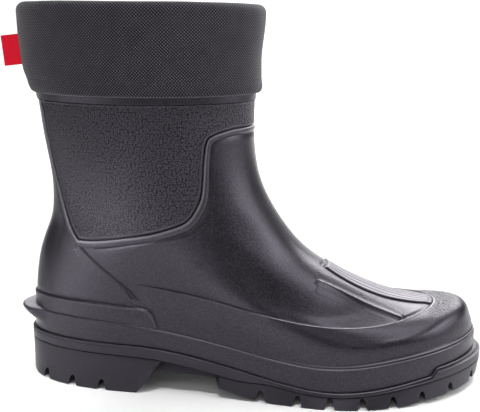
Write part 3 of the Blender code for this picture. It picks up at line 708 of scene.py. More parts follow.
def make_felt(name, colours, fibre):
    """Short felted pile."""
    n = Nodes(name)
    fibres = n.noise(n.point(), fibre, 6.0)
    n.set(Base_Color=n.mix(fibres, *colours), Roughness=0.95, Normal=n.bump(fibres, FELT_DEPTH),
          Specular_IOR_Level=0.2, Sheen_Weight=0.3, Sheen_Roughness=0.6)
    return n.material


# The upper's skin

def heel_band_top(station):
    """Level of the heel band's top edge, which curves down to its front end."""
    ends = locate(HEEL_BAND_EDGE, SIDE_VIEW)
    known = np.array([s for s, _ in HEEL_BAND_EDGE])
    return np.interp(station, known[::-1], ends[::-1, 1], left=HEEL_BAND_LEVEL, right=-1.0)


def rib_turn(level):
    """Turn of the vamp rib on the outer side at each level."""
    found = locate(VAMP_RIB, TOP_VIEW)
    order = np.argsort(found[:, 1])
    return np.interp(level, found[order, 1], found[order, 0])


def rand_offset(level, turn):
    """Distance over the rand line."""
    size = np.linalg.norm(upper_slopes(np.full_like(turn, RAND_LEVEL), turn)[1], axis=-1)
    return (level - RAND_LEVEL) * size


def panel_rise(level, turn):
    """Height of the vamp panel, which rises from its rear end and stops short of the toe cap."""
    high = locate(VAMP_RIB[:1], TOP_VIEW)[0, 1]
    return VAMP_PANEL_HEIGHT * ease(high - level, 0, PANEL_RUN) * ease(rand_offset(level, turn), *PANEL_END)


def line_relief(level, turn):
    """Height over the plain upper of the level lines and the toe's end, less the soft creases."""
    station = upper_points(level, turn)[..., 0]
    off = rand_offset(level, turn)
    forward = ease(station, *FOREPART)
    start, end = (rear + (fore - rear) * forward for rear, fore in zip(RAND_EDGE_REAR, RAND_EDGE_FORE))
    rand = RAND_STEP * ease(station, *RAND_FADE) * (1 - ease(off, start, end))
    rand += beads(off, RAND_BEAD) * forward
    rand += beads(off, RAND_GROOVE) * ease(station, *RAND_GROOVE_START) * (1 - forward)
    rand += beads(level * BOTTOM_SIZE, *BOTTOM_BEADS) * ease(station, *BOTTOM_BEAD_START)
    off = (level - COLLAR_LEVEL) * COLLAR_SIZE
    collar = COLLAR_STEP * ease(off, *COLLAR_EDGE) + beads(off, *COLLAR_BEADS)
    toe = TOE_SQUARE * bump_at(level, *TOE_END_LEVEL) * bump_at(turn, math.pi, TOE_END_TURN)
    toe += CAP_LUMPS * cap_roughness(level, turn) * lumps(level, turn)
    return rand + collar + toe - hollows(level, turn)


def lumps(level, turn):
    """Small uneven rises and dips of 4 mm or so, from -1 to 1."""
    station, side, _ = np.moveaxis(upper_points(level, turn), -1, 0)
    along = np.sin(1.7 * station + 2.0 * np.sin(0.9 * side))
    return along * np.sin(1.5 * side + 1.3 * np.sin(0.8 * station))


def hollows(level, turn):
    """Depth of the soft creases, the same on both sides of the boot."""
    by_turn, by_level = upper_slopes(level, turn)
    places = locate([crease[:2] for crease in CREASES], SIDE_VIEW)
    depth = 0
    for crease, (at_turn, at_level) in zip(CREASES, places):
        half_length, half_width, deep = crease[2:]
        across = (outer_turn(turn) - at_turn) * np.linalg.norm(by_turn, axis=-1)
        along = (level - at_level) * np.linalg.norm(by_level, axis=-1)
        depth = depth + deep * bump_at(np.hypot(across / half_width, along / half_length), 0, 1)
    return depth


def line_edges(level, turn):
    """1 on the lips of the level lines, which are painted light as highlights, falling to 0 beside them."""
    station = upper_points(level, turn)[..., 0]
    # Painted highlights on the lips of the level lines
    highlit = vary(station, *RAND_HIGHLIGHT) * ease(station, *RAND_LIP_START)
    rand = beads(rand_offset(level, turn), RAND_LIP) * highlit
    bottom = beads(level * BOTTOM_SIZE, BOTTOM_LIP) * ease(station, *BOTTOM_LIP_START)
    return rand + bottom + beads((level - COLLAR_LEVEL) * COLLAR_SIZE, COLLAR_LIP)


def relief(level, turn):
    """Height of all the moulded steps over the plain upper."""
    level, turn = np.broadcast_arrays(level, turn)
    station = upper_points(level, turn)[..., 0]
    band = HEEL_BAND_STEP * (level < heel_band_top(station))
    inside = np.abs(turn - math.pi) < math.pi - rib_turn(level)
    panel = panel_rise(level, turn) * (inside & (level > RAND_LEVEL))
    return line_relief(level, turn) + band + panel


def cap_roughness(level, turn):
    """1 on the toe cap's top, which is moulded rough, and 0 elsewhere."""
    station = upper_points(level, turn)[..., 0]
    before_line = 1 - ease(rand_offset(level, turn), *CAP_END)
    return ease(station, *CAP_START) * ease(level, *CAP_LEVELS) * before_line


Strip = namedtuple("Strip", "base across reach fade")
SPACING = 0.9            # between a strip's rows
COVER = 3.0              # how far a strip's edges lie over the plain skin
SINK = 1.7               # how far the skin is sunk under the strips
FLANGE_RISE = 0.03       # the edges stand no higher than this
CORNER_RUN = 9.0         # length over which a strip's rows lean to a mitred corner
# How a strip changes along its path: at first, then each change with its start and end
SEAM_WIDTH = (2.0, (1.4, 0, 92), (1.0, 88, 100), (-1.3, 175, 215))
SEAM_GROOVE = (0.5, (0.6, 60, 95), (-0.15, 165, 200))
SEAM_SECOND_GROOVE = (0.45, (-0.45, 55, 85), (0.6, 91, 95))
SEAM_RISE = (0.75, (-0.2, 70, 100))
SEAM_LIP = (0.0, (0.3, 92, 130))
COUNTER_WIDTH = (0.5, (1.3, 0.55, 0.98))
COUNTER_FLOOR = (-0.9, (0.8, 0.58, 0.85))
RIB_NARROWING = (0.35, (0.65, 2.0, 18.0))
# How light the highlights painted along a strip's columns are, by their number
SEAM_LIGHT = {3: 0.07, 9: 0.16, 10: 0.24, 12: 0.06}
SEAM_PEBBLES = (1.4, 2.4)        # distances across where the quarter's pebbles start
COUNTER_LIGHT = {3: 0.04, 10: 0.07}
BAND_LIGHT = {6: 0.06, 7: 0.1}
RIB_COVER = 5.0          # the vamp rib's edges lie further over the skin
RIB_STEPS = np.arange(0.5, RIB_COVER, 0.5)
RIB_DIVE = 0.4           # and its ends go this far under it
RIB_CREST = len(RIB_STEPS) + 3
RIB_LIGHT = {RIB_CREST: 0.55, RIB_CREST + 1: 0.45}
RIB_STOP = 0.2           # it stops this far over the rand line
BAND_TURNS = 12          # places along the heel band's straight run to the back
BAND_RUN = (0.06, 0.05)  # turns left out at its two ends
# Rows of the skin, close together at its level lines: first level, end, step
SKIN_ROWS = ((0.0, TOP_LEVEL + 0.001, 0.085), (2.74, 3.261, 0.013), (9.9, 10.101, 0.011), (0.0, 0.4, 0.026))
LEAST_ROW_STEP = 0.004


def leg_frame(path):
    """Points, directions along and across, and lengths of a path on the upper."""
    base = upper_points(path[:, 1], path[:, 0])
    normal = upper_normals(path[:, 1], path[:, 0])
    along = unit(np.gradient(base, axis=0))
    across = unit(np.cross(normal, along))
    return base, along, across, run_along(base)


def make_strip(name, legs, profile, ends, column_highlights, pebbled=None, cover=COVER, through=(), dive=0.0):
    """A finely made band of skin along a path whose legs meet in mitred corners.

    The profile gives, for lengths along the path, a list of (distance across, height). The ends say over
    what length the heights fade at the start and the end of the path. The fifth argument says how light
    each column is painted as a highlight.
    Cover is how far its edges lie over the plain skin. Other strips pass through its edges. Its ends dive
    under the skin by what dive says.
    """
    frames = [leg_frame(leg) for leg in legs]
    lengths = np.cumsum([0] + [f[3][-1] for f in frames])
    total = lengths[-1]
    rows = []
    for number, (leg, (base, along, across, length)) in enumerate(zip(legs, frames)):
        shear = np.zeros(len(leg))
        if number > 0:
            near = np.clip(1 - length / CORNER_RUN, 0, 1)
            shear += corner_shear(frames[number - 1], frames[number]) * near
        if number < len(legs) - 1:
            near = np.clip(1 - (length[-1] - length) / CORNER_RUN, 0, 1)
            shear -= corner_shear(frames[number], frames[number + 1]) * near
        first = 0 if number == 0 else 1
        for i in range(first, len(leg)):
            rows.append((leg[i], base[i], along[i], across[i], shear[i], lengths[number] + length[i]))
    path, base, along, across, shear, length = (np.array(column) for column in zip(*rows))
    fade = ease(length, -0.001, ends[0]) * (1 - ease(length, total - ends[1], total + 0.001))

    columns = profile(length, total)
    d, h = (np.stack([c[k] + 0 * length for c in columns], 1) for k in (0, 1))
    h = h * fade[:, None] - dive * (1 - fade[:, None]) ** 2
    offsets = (across[:, None] + along[:, None] * shear[:, None, None]) * d[..., None]
    by_turn, by_level = upper_slopes(path[:, 1], path[:, 0])
    slopes = np.stack([by_turn, by_level], -1)
    square = np.einsum("rki,rkj->rij", slopes, slopes)
    move = np.linalg.solve(square[:, None], np.einsum("rki,rck->rci", slopes, offsets)[..., None])[..., 0]
    turn = path[:, None, 0] + move[..., 0]
    level = path[:, None, 1] + move[..., 1]
    plain = upper_points(level, turn)
    h = h - sunk(plain.reshape(-1, 3), through).reshape(h.shape) * (np.abs(h) < FLANGE_RISE)
    points = wall(level, turn, line_relief(level, turn) + h)
    obj = grid_object(name, points)
    # How light each column is painted as a highlight
    light = np.array([column_highlights.get(i, 0.0) for i in range(d.shape[1])])
    edge = np.maximum(line_edges(level, turn), light * fade[:, None])
    mark_skin(obj, level, turn, np.zeros_like(d) if pebbled is None else pebbled(d), edge)
    strip = Strip(base, across, (d.min(1) + cover, d.max(1) - cover), fade)
    return obj, strip


def mark_skin(obj, level, turn, pebbled, edge):
    """What the foam reads: where the skin is pebbled, rough and painted with highlights, and its place laid
    flat.
    """
    mark(obj, "pebbled", pebbled)
    mark(obj, "rough", cap_roughness(level, turn))
    mark(obj, "edge", edge)
    lay_skin_flat(obj, level, turn)


def corner_shear(before, after):
    """How far the rows lean along the path at a mitred corner, for each millimetre across."""
    incoming, outgoing = before[1][-1], after[1][0]
    angle = math.atan2(np.dot(outgoing, before[2][-1]), np.dot(outgoing, incoming))
    return math.tan(angle / 2)


def sunk(points, strips):
    """How far the skin lies below its place, so that the strips show."""
    depth = np.zeros(len(points))
    for strip in strips:
        tree = KDTree(len(strip.base))
        for i, place in enumerate(strip.base):
            tree.insert(place, i)
        tree.balance()
        low, high = strip.reach
        far = max(np.abs(low).max(), np.abs(high).max()) + 1
        box = (strip.base.min(0) - far, strip.base.max(0) + far)
        close = np.where(((points > box[0]) & (points < box[1])).all(1))[0]
        for k in close:
            _, i, distance = tree.find(points[k])
            if distance > far:
                continue
            d = np.dot(points[k] - strip.base[i], strip.across[i])
            d = math.copysign(distance, d)
            if low[i] < d < high[i]:
                depth[k] = max(depth[k], SINK * strip.fade[i])
    return depth


def skin_levels():
    """Levels of the skin's rows."""
    levels = np.unique(np.round(np.concatenate([np.arange(*rows) for rows in SKIN_ROWS]), 4))
    return levels[np.concatenate([[True], np.diff(levels) > LEAST_ROW_STEP])]


def panel_mask(level, turn, outline):
    """1 inside an outline drawn in turns and levels on the outer side, repeated on the inner side."""
    turn = outer_turn(turn)
    inside = np.zeros(turn.shape, bool)
    for (t0, l0), (t1, l1) in zip(outline, np.roll(outline, -1, axis=0)):
        crosses = (l0 > level) != (l1 > level)
        at = t0 + (t1 - t0) * (level - l0) / (l1 - l0 if l1 != l0 else 1e-9)
        inside ^= crosses & (turn < at)
    return inside.astype(float)


def split_foams(mesh):
    """Gives a mesh's pebbled faces the second of its two foams."""
    corners = np.empty(len(mesh.loops), int)
    mesh.loops.foreach_get("vertex_index", corners)
    pebbled = np.empty(len(mesh.vertices), np.float32)
    mesh.attributes["pebbled"].data.foreach_get("value", pebbled)
    inside = pebbled[corners.reshape(-1, 4)].mean(1) > 0.5
    mesh.polygons.foreach_set("material_index", inside.astype(np.int32))


def seam_profile(length, total):
    """A groove on the quarter's side of a raised strip, and a second groove on its other side."""
    from_end = np.minimum(length, total - length)
    width = vary(from_end, *SEAM_WIDTH)
    groove = vary(from_end, *SEAM_GROOVE)
    second = vary(from_end, *SEAM_SECOND_GROOVE)
    rise = vary(from_end, *SEAM_RISE)
    lip = vary(from_end, *SEAM_LIP)
    return [(7.0, 0), (4.5, 0.02), (2.2, 0.05), (1.4, lip), (0.85, lip * 0.9), (0.5, -0.6 * groove),
            (0.2, -groove), (-0.1, -groove), (-0.4, -0.1 * groove), (-0.65, 0.75 * rise), (-1.0, rise),
            (-width * 0.6, 1.2 * rise), (-width + 0.1, 0.95 * rise), (-width - 0.3, 0.5 * rise),
            (-width - 0.7, -0.6 * second), (-width - 1.1, -second), (-width - 1.6, -0.5 * second),
            (-width - 2.4, 0.02), (-width - 4.5, 0.02), (-width - 7.0, 0)]


def counter_profile(length, total):
    """A groove that splits in two towards its lower end."""
    width = vary(length / total, *COUNTER_WIDTH)
    between = vary(length / total, *COUNTER_FLOOR)
    return [(6.5, 0), (3.5, 0.02), (width + 1.2, 0.12), (width + 0.6, 0.1), (width + 0.15, -0.75),
            (width - 0.25, -0.95), (width * 0.3, between), (-width * 0.3, between), (0.25 - width, -0.95),
            (-width - 0.15, -0.75), (-width - 0.6, 0.1), (-width - 1.2, 0.15), (-3.5, 0.03), (-6.5, 0)]


def rib_profile(path):
    """The step from the raised vamp panel, with a thin lip along its edge."""
    rise = panel_rise(path[:, 1], path[:, 0])
    narrow = vary(rand_offset(path[:, 1], path[:, 0]), *RIB_NARROWING)
    inner, outer = 3.2 * narrow, -4.8 * narrow
    step = [(1.3, rise + 0.05), (0.8, rise + 0.2), (0.45, rise + 0.45), (0.1, rise + 0.35),
            (-0.25, 0.9 * rise), (-0.9, 0.55 * rise), (-1.5, 0.2 * rise), (-2.1, -0.02),
            (-2.7, -0.12 * narrow), (-3.6, -0.07 * narrow), (-4.8, 0.03)]
    columns = [(inner + RIB_COVER, rise - 0.03)]
    columns += [(inner + x, rise + 0.05) for x in RIB_STEPS[::-1]]
    columns += [(share * narrow, height) for share, height in step]
    columns += [(outer - x, 0.05) for x in RIB_STEPS]
    columns.append((outer - RIB_COVER, -0.03))
    return lambda length, total: columns


def band_profile(length, total):
    """The heel band's step, with a groove over its rounded edge."""
    step = HEEL_BAND_STEP
    return [(5.5, 0), (2.6, 0.03), (1.2, -0.1), (0.65, -0.4), (0.25, -0.4), (-0.05, 0.45 * step),
            (-0.4, 0.92 * step), (-0.85, 1.1 * step), (-1.6, 1.08 * step), (-3.0, step + 0.03),
            (-5.5, step)]


def side_path(places):
    """A path on the outer side through places that are seen from the side."""
    return smooth_path(locate(places, SIDE_VIEW), SPACING)


def seam_legs():
    """The quarter seam: down the back on the outer side, round the front, up the back on the inner side."""
    back = side_path(BACK_GROOVE)
    half = locate(QUARTER_GROOVE, SIDE_VIEW)
    front = [[math.pi, half[-1, 1]]]
    return back, smooth_path(np.concatenate([half, front, mirrored(half)]), SPACING), mirrored(back)


def band_path():
    """The heel band's top edge, from its front end on the inner side round the back to the outer side."""
    ends = locate(HEEL_BAND_EDGE, SIDE_VIEW)
    straight = np.linspace(ends[-1, 0] - BAND_RUN[0], BAND_RUN[1], BAND_TURNS)
    outer = np.concatenate([ends, np.stack([straight, np.full(BAND_TURNS, HEEL_BAND_LEVEL)], 1)])
    inner = outer[::-1] * (-1, 1)
    return smooth_path(np.concatenate([outer, inner]), SPACING)[::-1]


def make_strips(legs):
    """The fine strips along the seams, each with its place on the skin."""
    counter = side_path(COUNTER_LINE)
    counters = [
        make_strip("counter_groove_outer", [counter], counter_profile, (1.0, 0.1), COUNTER_LIGHT),
        make_strip("counter_groove_inner", [mirrored(counter)],
                   lambda length, total: counter_profile(total - length, total), (0.1, 1.0), COUNTER_LIGHT),
    ]
    rib = smooth_path(locate(VAMP_RIB, TOP_VIEW), SPACING)
    rib = rib[rand_offset(rib[:, 1], rib[:, 0]) > RIB_STOP]
    inner_rib = mirrored(rib)
    edges = {"cover": RIB_COVER, "dive": RIB_DIVE}
    return counters + [
        make_strip("quarter_seam", legs, seam_profile, (4, 4), SEAM_LIGHT, lambda d: ease(d, *SEAM_PEBBLES),
                   through=[strip for _, strip in counters]),
        make_strip("vamp_rib_outer", [rib], rib_profile(rib), (2.6, 2.0), RIB_LIGHT, **edges),
        make_strip("heel_band_edge", [band_path()], band_profile, (0.1, 0.1), BAND_LIGHT),
        make_strip("vamp_rib_inner", [inner_rib], rib_profile(inner_rib), (2.0, 2.6), RIB_LIGHT, **edges),
    ]


def quarter_outline(back, seam):
    """Outline of the pebbled quarter on the outer side, up to the collar line."""
    middle = len(seam) // 2
    past = math.pi + 0.01
    corners = [(past, seam[middle, 1]), (past, COLLAR_LEVEL)]
    return np.concatenate([[(back[0, 0], COLLAR_LEVEL)], back, seam[:middle], corners])


def make_upper():
    foam = make_foam("moulded_foam", True)
    quarter = make_foam("quarter_foam", True, QUARTER_GLOSS)
    legs = seam_legs()
    made = make_strips(legs)
    level, turn = np.meshgrid(skin_levels(), round_turns(SKIN_TURNS), indexing="ij")
    plain = upper_points(level, turn)
    depth = sunk(plain.reshape(-1, 3), [strip for _, strip in made]).reshape(level.shape)
    depth = np.maximum(depth, SINK * under_centre_strip(level, turn))
    moved = upper_normals(level, turn) * (relief(level, turn) - depth)[..., None]
    skin = grid_object("upper_skin", plain + moved, round_columns=True)
    pebbled = panel_mask(level, turn, quarter_outline(*legs[:2]))
    mark_skin(skin, level, turn, pebbled, line_edges(level, turn))
    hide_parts("upper")
    for obj in [skin] + [obj for obj, _ in made]:
        obj.data.materials.append(foam)
        obj.data.materials.append(quarter)
        split_foams(obj.data)
        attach(obj, "root")
    return foam


# Edge of the bar over the toe, as the photo shows it: station, side
STRIP_SIDE = ((202, -11.6), (222, -12.6), (242, -11.2), (262, -8.9), (276.5, -7.4))
STRIP_LEAD = 5.0         # how far the centre strip's skin starts behind the bar
STRIP_LINES = 2.5        # fine lines on each half of the bar's top
STRIP_LINE_DEPTH = 0.3
STRIP_LINE_SHARE = 0.12  # half width of a line, as a share of their pitch
STRIP_GROOVE = 0.9       # how far the groove round the bar reaches out
STRIP_HIGHLIGHT = 0.3         # the bar's top is painted light as a highlight
# Distance in from the bar's edge, height as a share of the bar's
STRIP_EDGE = ((-4.6, 0), (-2.2, 0), (-1.1, 0.02), (-0.75, -0.12), (-0.45, -0.4), (-0.1, -0.42),
              (0.15, 0.15), (0.4, 0.6), (0.8, 0.92), (1.2, 1.0))
STRIP_SPACING = 0.3
STRIP_STOP = 0.5         # it stops this far over the rand line
STRIP_COLUMNS = 63       # on each half of the bar's top
STRIP_SUNK = 0.3         # the bar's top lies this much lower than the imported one
STRIP_CLOSING = 0.6      # length over which its front end goes under the skin
STRIP_DIVE = 0.25        # by this share of its height
STRIP_LINE_START = (1.2, 3.0)    # distances from its rear end where the fine lines begin
STRIP_HIGHLIGHT_EDGE = (0.2, 1.0)     # and from its edges where the painted highlight starts


def centre_strip_edge():
    """The bar's edge on the outer side, led back past its rear end and stopped at the toe cap."""
    (s0, y0), (s1, y1) = STRIP_SIDE[:2]
    lead = (s0 - STRIP_LEAD, y0 - STRIP_LEAD * (y1 - y0) / (s1 - s0))
    edge = smooth_path(locate((lead, *STRIP_SIDE), TOP_VIEW), STRIP_SPACING)
    return edge[rand_offset(edge[:, 1], edge[:, 0]) > STRIP_STOP]


def under_centre_strip(level, turn):
    """Where the skin lies under the bar and its groove."""
    edge = centre_strip_edge()
    run = run_along(upper_points(edge[:, 1], edge[:, 0]))
    rear = np.interp(STRIP_LEAD - STRIP_GROOVE, run, edge[:, 1])
    size = np.linalg.norm(upper_slopes(level, turn)[0], axis=-1)
    aside = np.abs(turn - math.pi) - (math.pi - np.interp(level, edge[::-1, 1], edge[::-1, 0]))
    return (aside * size < STRIP_GROOVE) & (level < rear) & (level > edge[-1, 1])


def make_centre_strip(foam):
    """The raised bar over the toe's middle, with a groove round it and fine lines along its top."""
    edge = centre_strip_edge()
    places = upper_points(edge[:, 1], edge[:, 0])
    half = np.abs(places[:, 1] - swing(places[:, 0]))[:, None]
    run = run_along(places)[:, None]
    shape = np.array(STRIP_EDGE, float)
    shoulder = shape[-1, 0]
    top = np.linspace(0, 1, STRIP_COLUMNS + 1)[1:]
    inward = np.concatenate([shape[:, 0] + 0 * half, shoulder + (half - shoulder) * top], 1)
    share = inward / (2 * half)
    share = np.concatenate([share, 1 - share[:, -2::-1]], 1)
    lines = np.concatenate([np.zeros(len(shape)), bump_at(top * STRIP_LINES % 1, 0.5, STRIP_LINE_SHARE)])
    inward = np.concatenate([inward, inward[:, -2::-1]], 1)
    lines = np.concatenate([lines, lines[-2::-1]])
    turn = edge[:, :1] + (2 * math.pi - 2 * edge[:, :1]) * share
    level = np.repeat(edge[:, 1:], share.shape[1], 1)
    behind = run - STRIP_LEAD
    rise = np.interp(np.minimum(inward, behind), shape[:, 0], shape[:, 1])
    rise -= STRIP_LINE_DEPTH * lines * ease(behind, *STRIP_LINE_START)
    over = CENTRE_STRIP_HEIGHT - VAMP_PANEL_HEIGHT - STRIP_SUNK
    closed = 1 - ease(run, run[-1] - STRIP_CLOSING, run[-1])
    bar = over * (rise * closed - STRIP_DIVE * (1 - closed))
    height = line_relief(level, turn) + panel_rise(level, turn) + bar
    strip = grid_object("centre_strip", wall(level, turn, height))
    mark(strip, "pebbled", np.zeros(level.shape))
    mark(strip, "rough", np.zeros(level.shape))
    # Painted highlight on the bar's top, away from its edges and fine lines
    highlit = STRIP_HIGHLIGHT * ease(np.minimum(inward, behind), *STRIP_HIGHLIGHT_EDGE) * (1 - lines) * closed
    mark(strip, "edge", highlit)
    strip.data.materials.append(foam)
    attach(strip, "root")


def make_lining():
    levels = np.append(np.linspace(TOP_LEVEL, LINING_ENDS[0], LINING_ROWS), LINING_ENDS[1])
    level, turn = np.meshgrid(levels, round_turns(LINING_TURNS), indexing="ij")
    lining = grid_object("lining", wall(level, turn, np.full(level.shape, -WALL)), round_columns=True)
    lining.data.materials.append(make_felt("lining_knit", LINING_COLOURS, LINING_FIBRE))
    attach(lining, "root")


# The sole

def outline_ring(outline, turns, height, inset):
    """A ring on the sole moved in square to its outline, at a height worked out from its stations."""
    step = SLOPE_STEP
    station, side = plan(outline, turns)
    ahead = unit(np.stack(plan(outline, turns + step), -1) - np.stack(plan(outline, turns - step), -1))
    inward_x, inward_y = -ahead[:, 1], ahead[:, 0]
    middle = np.sign(inward_y * (swing(station) - side) + inward_x * (SOLE_MIDDLE - station))
    moved = station + inward_x * middle * inset
    return np.stack([moved, side + inward_y * middle * inset, height(station)], -1)


def make_midsole():
    turns = round_turns(MIDSOLE_TURNS)
    spur = np.minimum(turns, 2 * math.pi - turns)
    spur = (SPUR_REACH + SPUR_TIP) * (1 - ease(spur, *SPUR_CORNERS))

    def between(share, lift):
        def height(station):
            low = tread_line(station) + FIT_GAP
            return low + (bed_height(station) - FIT_GAP - low) * share + lift
        return height

    rings = []
    for share, lift, inset, reach, lifted in MIDSOLE_SECTION:
        ring = outline_ring(MIDSOLE_SIDE, turns, between(share, lift), inset)
        ring[:, 0] -= spur * reach
        ring[:, 2] += SPUR_LIFT * spur / SPUR_REACH * lifted
        rings.append(ring)
    midsole = grid_object("midsole_band", np.array(rings), round_columns=True)
    share, _, inset, _, _ = np.transpose(MIDSOLE_SECTION)
    # Painted highlights on the midsole's top edge and on the spur's top
    lips = bump_at(inset, *MIDSOLE_LIP) * (share == 1)
    top = (share == 1) & (inset > MIDSOLE_SHELF[0]) & (inset < MIDSOLE_SHELF[1])
    shelf = SPUR_HIGHLIGHT * top[:, None] * ease(spur, 0, SPUR_REACH)
    highlit = vary(plan(MIDSOLE_SIDE, turns)[0], *MIDSOLE_HIGHLIGHT)
    mark(midsole, "edge", lips[:, None] * highlit + shelf)
    midsole.data.materials.append(make_foam("midsole_foam", False))
    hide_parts("midsole")
    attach(midsole, "root")


def tread_bottom(station):
    return np.interp(station, *np.transpose(TREAD_BOTTOM))


def ramp(value, start, end):
    """0 before start, 1 after end, straight between."""
    return np.clip((np.asarray(value, float) - start) / (end - start), 0, 1)


def sole_ring(outline, turns, height, inset):
    """A ring on the sole, at a height worked out from its stations, moved in towards the middle line."""
    station, side = plan(outline, turns)
    middle = swing(station)
    side = middle + (side - middle) * (1 - inset / np.maximum(np.abs(side - middle), INSET_FADE))
    return np.stack([station, side, height(station)], -1)


def turn_at(outline, station):
    """Turn on the outer side where an outline passes a station."""
    return math.acos(1 - 2 * (station - outline.back) / (outline.front - outline.back))


def prism(name, base, way, profile, length):
    """A block with a profile of (across, height), run along a level way from its base."""
    way = np.array([*way, 0.0]) / np.linalg.norm(way)
    across = np.array([-way[1], way[0], 0.0])
    points = []
    for along in (0.0, length):
        points += [np.array(base) + way * along + across * a + np.array([0, 0, h]) for a, h in profile]
    count = len(profile)
    faces = grid_faces(2, count, round_columns=True)
    faces += [list(range(count)), list(range(2 * count - 1, count - 1, -1))]
    return cutter(name, points, faces)


def cutter(name, points, faces):
    obj = mesh_object(name, points, faces)
    work = bmesh.new()
    work.from_mesh(obj.data)
    bmesh.ops.recalc_face_normals(work, faces=work.faces)
    work.to_mesh(obj.data)
    work.free()
    return obj


def notch_cutter(station, inner):
    """A bell-shaped cut from the edge of the tread in to the channel, square to the edge."""
    turn = turn_at(SOLE_FLOOR, station)
    turn = 2 * math.pi - turn if inner else turn
    along, side = plan(SOLE_FLOOR, turn + np.array([-EDGE_STEP, 0.0, EDGE_STEP]))
    inward = np.array([side[0] - side[2], along[2] - along[0]])
    inward /= np.linalg.norm(inward)
    base = np.array([along[1], side[1]]) - inward * CUT_OVERRUN
    half = [(w, h) for h, w in NOTCH]
    profile = half + [(-w, h) for w, h in half[::-1]]
    return prism("notch", (*base, float(tread_bottom(station))), inward, profile, LUG_LENGTH + CUT_OVERRUN)


def bar_cutter(station, channel):
    """A cut straight across between the two sides of a channel."""
    turn = turn_at(channel, station)
    width = float(spline(SHARES, channel.widths, (1 - math.cos(turn)) / 2))
    reach = width * math.sin(turn) - CHANNEL_WIDTH / 2
    high = float(tread_bottom(station)) + LUG_DEPTH - BAR_RISE
    half = LUG_GAP / 2
    profile = ((-half, -CUT_OVERRUN), (half, -CUT_OVERRUN), (half - LUG_TAPER, high),
               (LUG_TAPER - half, high))
    return prism("bar", (station, float(swing(station)) - reach, 0.0), (0, 1), profile, 2 * reach)


def channel_cutter(outline):
    """A groove that runs round inside the edge lugs."""
    turns = round_turns(CHANNEL_TURNS)
    rings = []
    sides = ((0, False), (CHANNEL_TAPER, True),
             (CHANNEL_WIDTH - CHANNEL_TAPER, True), (CHANNEL_WIDTH, False))
    for shrink, high in sides:
        shape = Outline(outline.name, outline.back + shrink, outline.front - shrink,
                        tuple(w - shrink for w in outline.widths))
        station, side = plan(shape, turns)
        depth = tread_bottom(station) + LUG_DEPTH if high else np.full_like(station, -CUT_OVERRUN)
        rings.append(np.stack([station, side, depth], -1))
    rings = np.array(rings)
    return cutter("channel", rings.reshape(-1, 3), grid_faces(4, len(turns), True, True))


def rim_bottom(station):
    """Height of the underside of the outsole's rim."""
    start, end, thin = RIM_TAPER
    taper = (thin - RIM_HEIGHT) * ease(station, start, end)
    return spline(*np.transpose(TREAD_LINE), station) - RIM_HEIGHT - taper


def over(line, lift):
    """A line of heights, moved up."""
    return lambda station: line(station) + lift


def arch_inset(station, limits):
    """How far the arch is moved in, between the stations that limit it."""
    return ARCH_INSET * (ramp(station, *limits[:2]) - ramp(station, *limits[2:]))


def sole_turns():
    """Turns of the outsole's columns, with one at each corner of its tread, arch and bumper."""
    close = np.arange(ARCH_BOTTOM[0] + ARCH_STEP, ARCH_UNDER_RIM[1], ARCH_STEP)
    extra = [turn_at(SOLE_FLOOR, s) for s in (*(s for s, _ in TREAD_BOTTOM[1:-1]), *ARCH_BOTTOM)]
    extra += [turn_at(SOLE_RIM, s) for s in (*ARCH_UNDER_RIM, *BUMPER[:2], *close)]
    half = np.linspace(0, math.pi, OUTSOLE_HALF_TURNS)[1:-1]
    apart = np.abs(np.subtract.outer(half, extra)).min(1) > OUTSOLE_LEAST_TURN
    outer = np.sort(np.concatenate([half[apart], extra]))
    return np.concatenate([[0.0], outer, [math.pi], 2 * math.pi - outer[::-1]])


def sole_rings(turns):
    """Rings of the uncut outsole, from its tread's edge up to the top of its rim."""
    station = plan(SOLE_RIM, turns)[0]
    floor = arch_inset(plan(SOLE_FLOOR, turns)[0], ARCH_BOTTOM)
    arch = arch_inset(station, ARCH_UNDER_RIM)
    under = arch + RIM_INSET * (1 - ramp(station, *ARCH_UNDER_RIM[:2]))
    rings = [sole_ring(SOLE_FLOOR, turns, over(tread_bottom, lift), floor + inset)
             for lift, inset in TREAD_EDGE]
    low = sole_ring(SOLE_FLOOR, turns, over(tread_bottom, TREAD_EDGE[-1][0]), 0)
    high = sole_ring(SOLE_RIM, turns, over(rim_bottom, RIM_UNDERSIDE[0][0]), under - arch)
    for share in np.linspace(0, 1, OUTSOLE_ROWS)[1:-1]:
        ring = low + (high - low) * share
        limits = np.array(ARCH_BOTTOM) + (np.array(ARCH_UNDER_RIM) - ARCH_BOTTOM) * share
        aside = ring[:, 1] - swing(ring[:, 0])
        ring[:, 1] -= aside * arch_inset(ring[:, 0], limits) / np.maximum(np.abs(aside), INSET_FADE)
        rings.append(ring)
    rings += [sole_ring(SOLE_RIM, turns, over(rim_bottom, lift), under + inset)
              for lift, inset in RIM_UNDERSIDE]
    rings += [outline_ring(SOLE_RIM, turns, over(rim_bottom, lift), inset)
              for lift, inset in RIM_LOW_EDGE]
    set_back = TOE_LEDGE * ease(station, *TOE_LEDGE_RUN)
    rings += [outline_ring(SOLE_RIM, turns, over(tread_line, lift), inset + set_back * share)
              for lift, inset, share in RIM_TOP_EDGE]
    return rings


def closed_faces(rings, columns):
    """Faces of a stack of rings, with the first and the last closed straight across."""
    faces = grid_faces(rings, columns, round_columns=True)
    for start in (0, (rings - 1) * columns):
        faces.append([start, start + 1, start + columns - 1])
        faces += [[start + j, start + j + 1, start + columns - j - 1, start + columns - j]
                  for j in range(1, columns // 2 - 1)]
        middle = start + columns // 2
        faces.append([middle - 1, middle, middle + 1])
    return faces


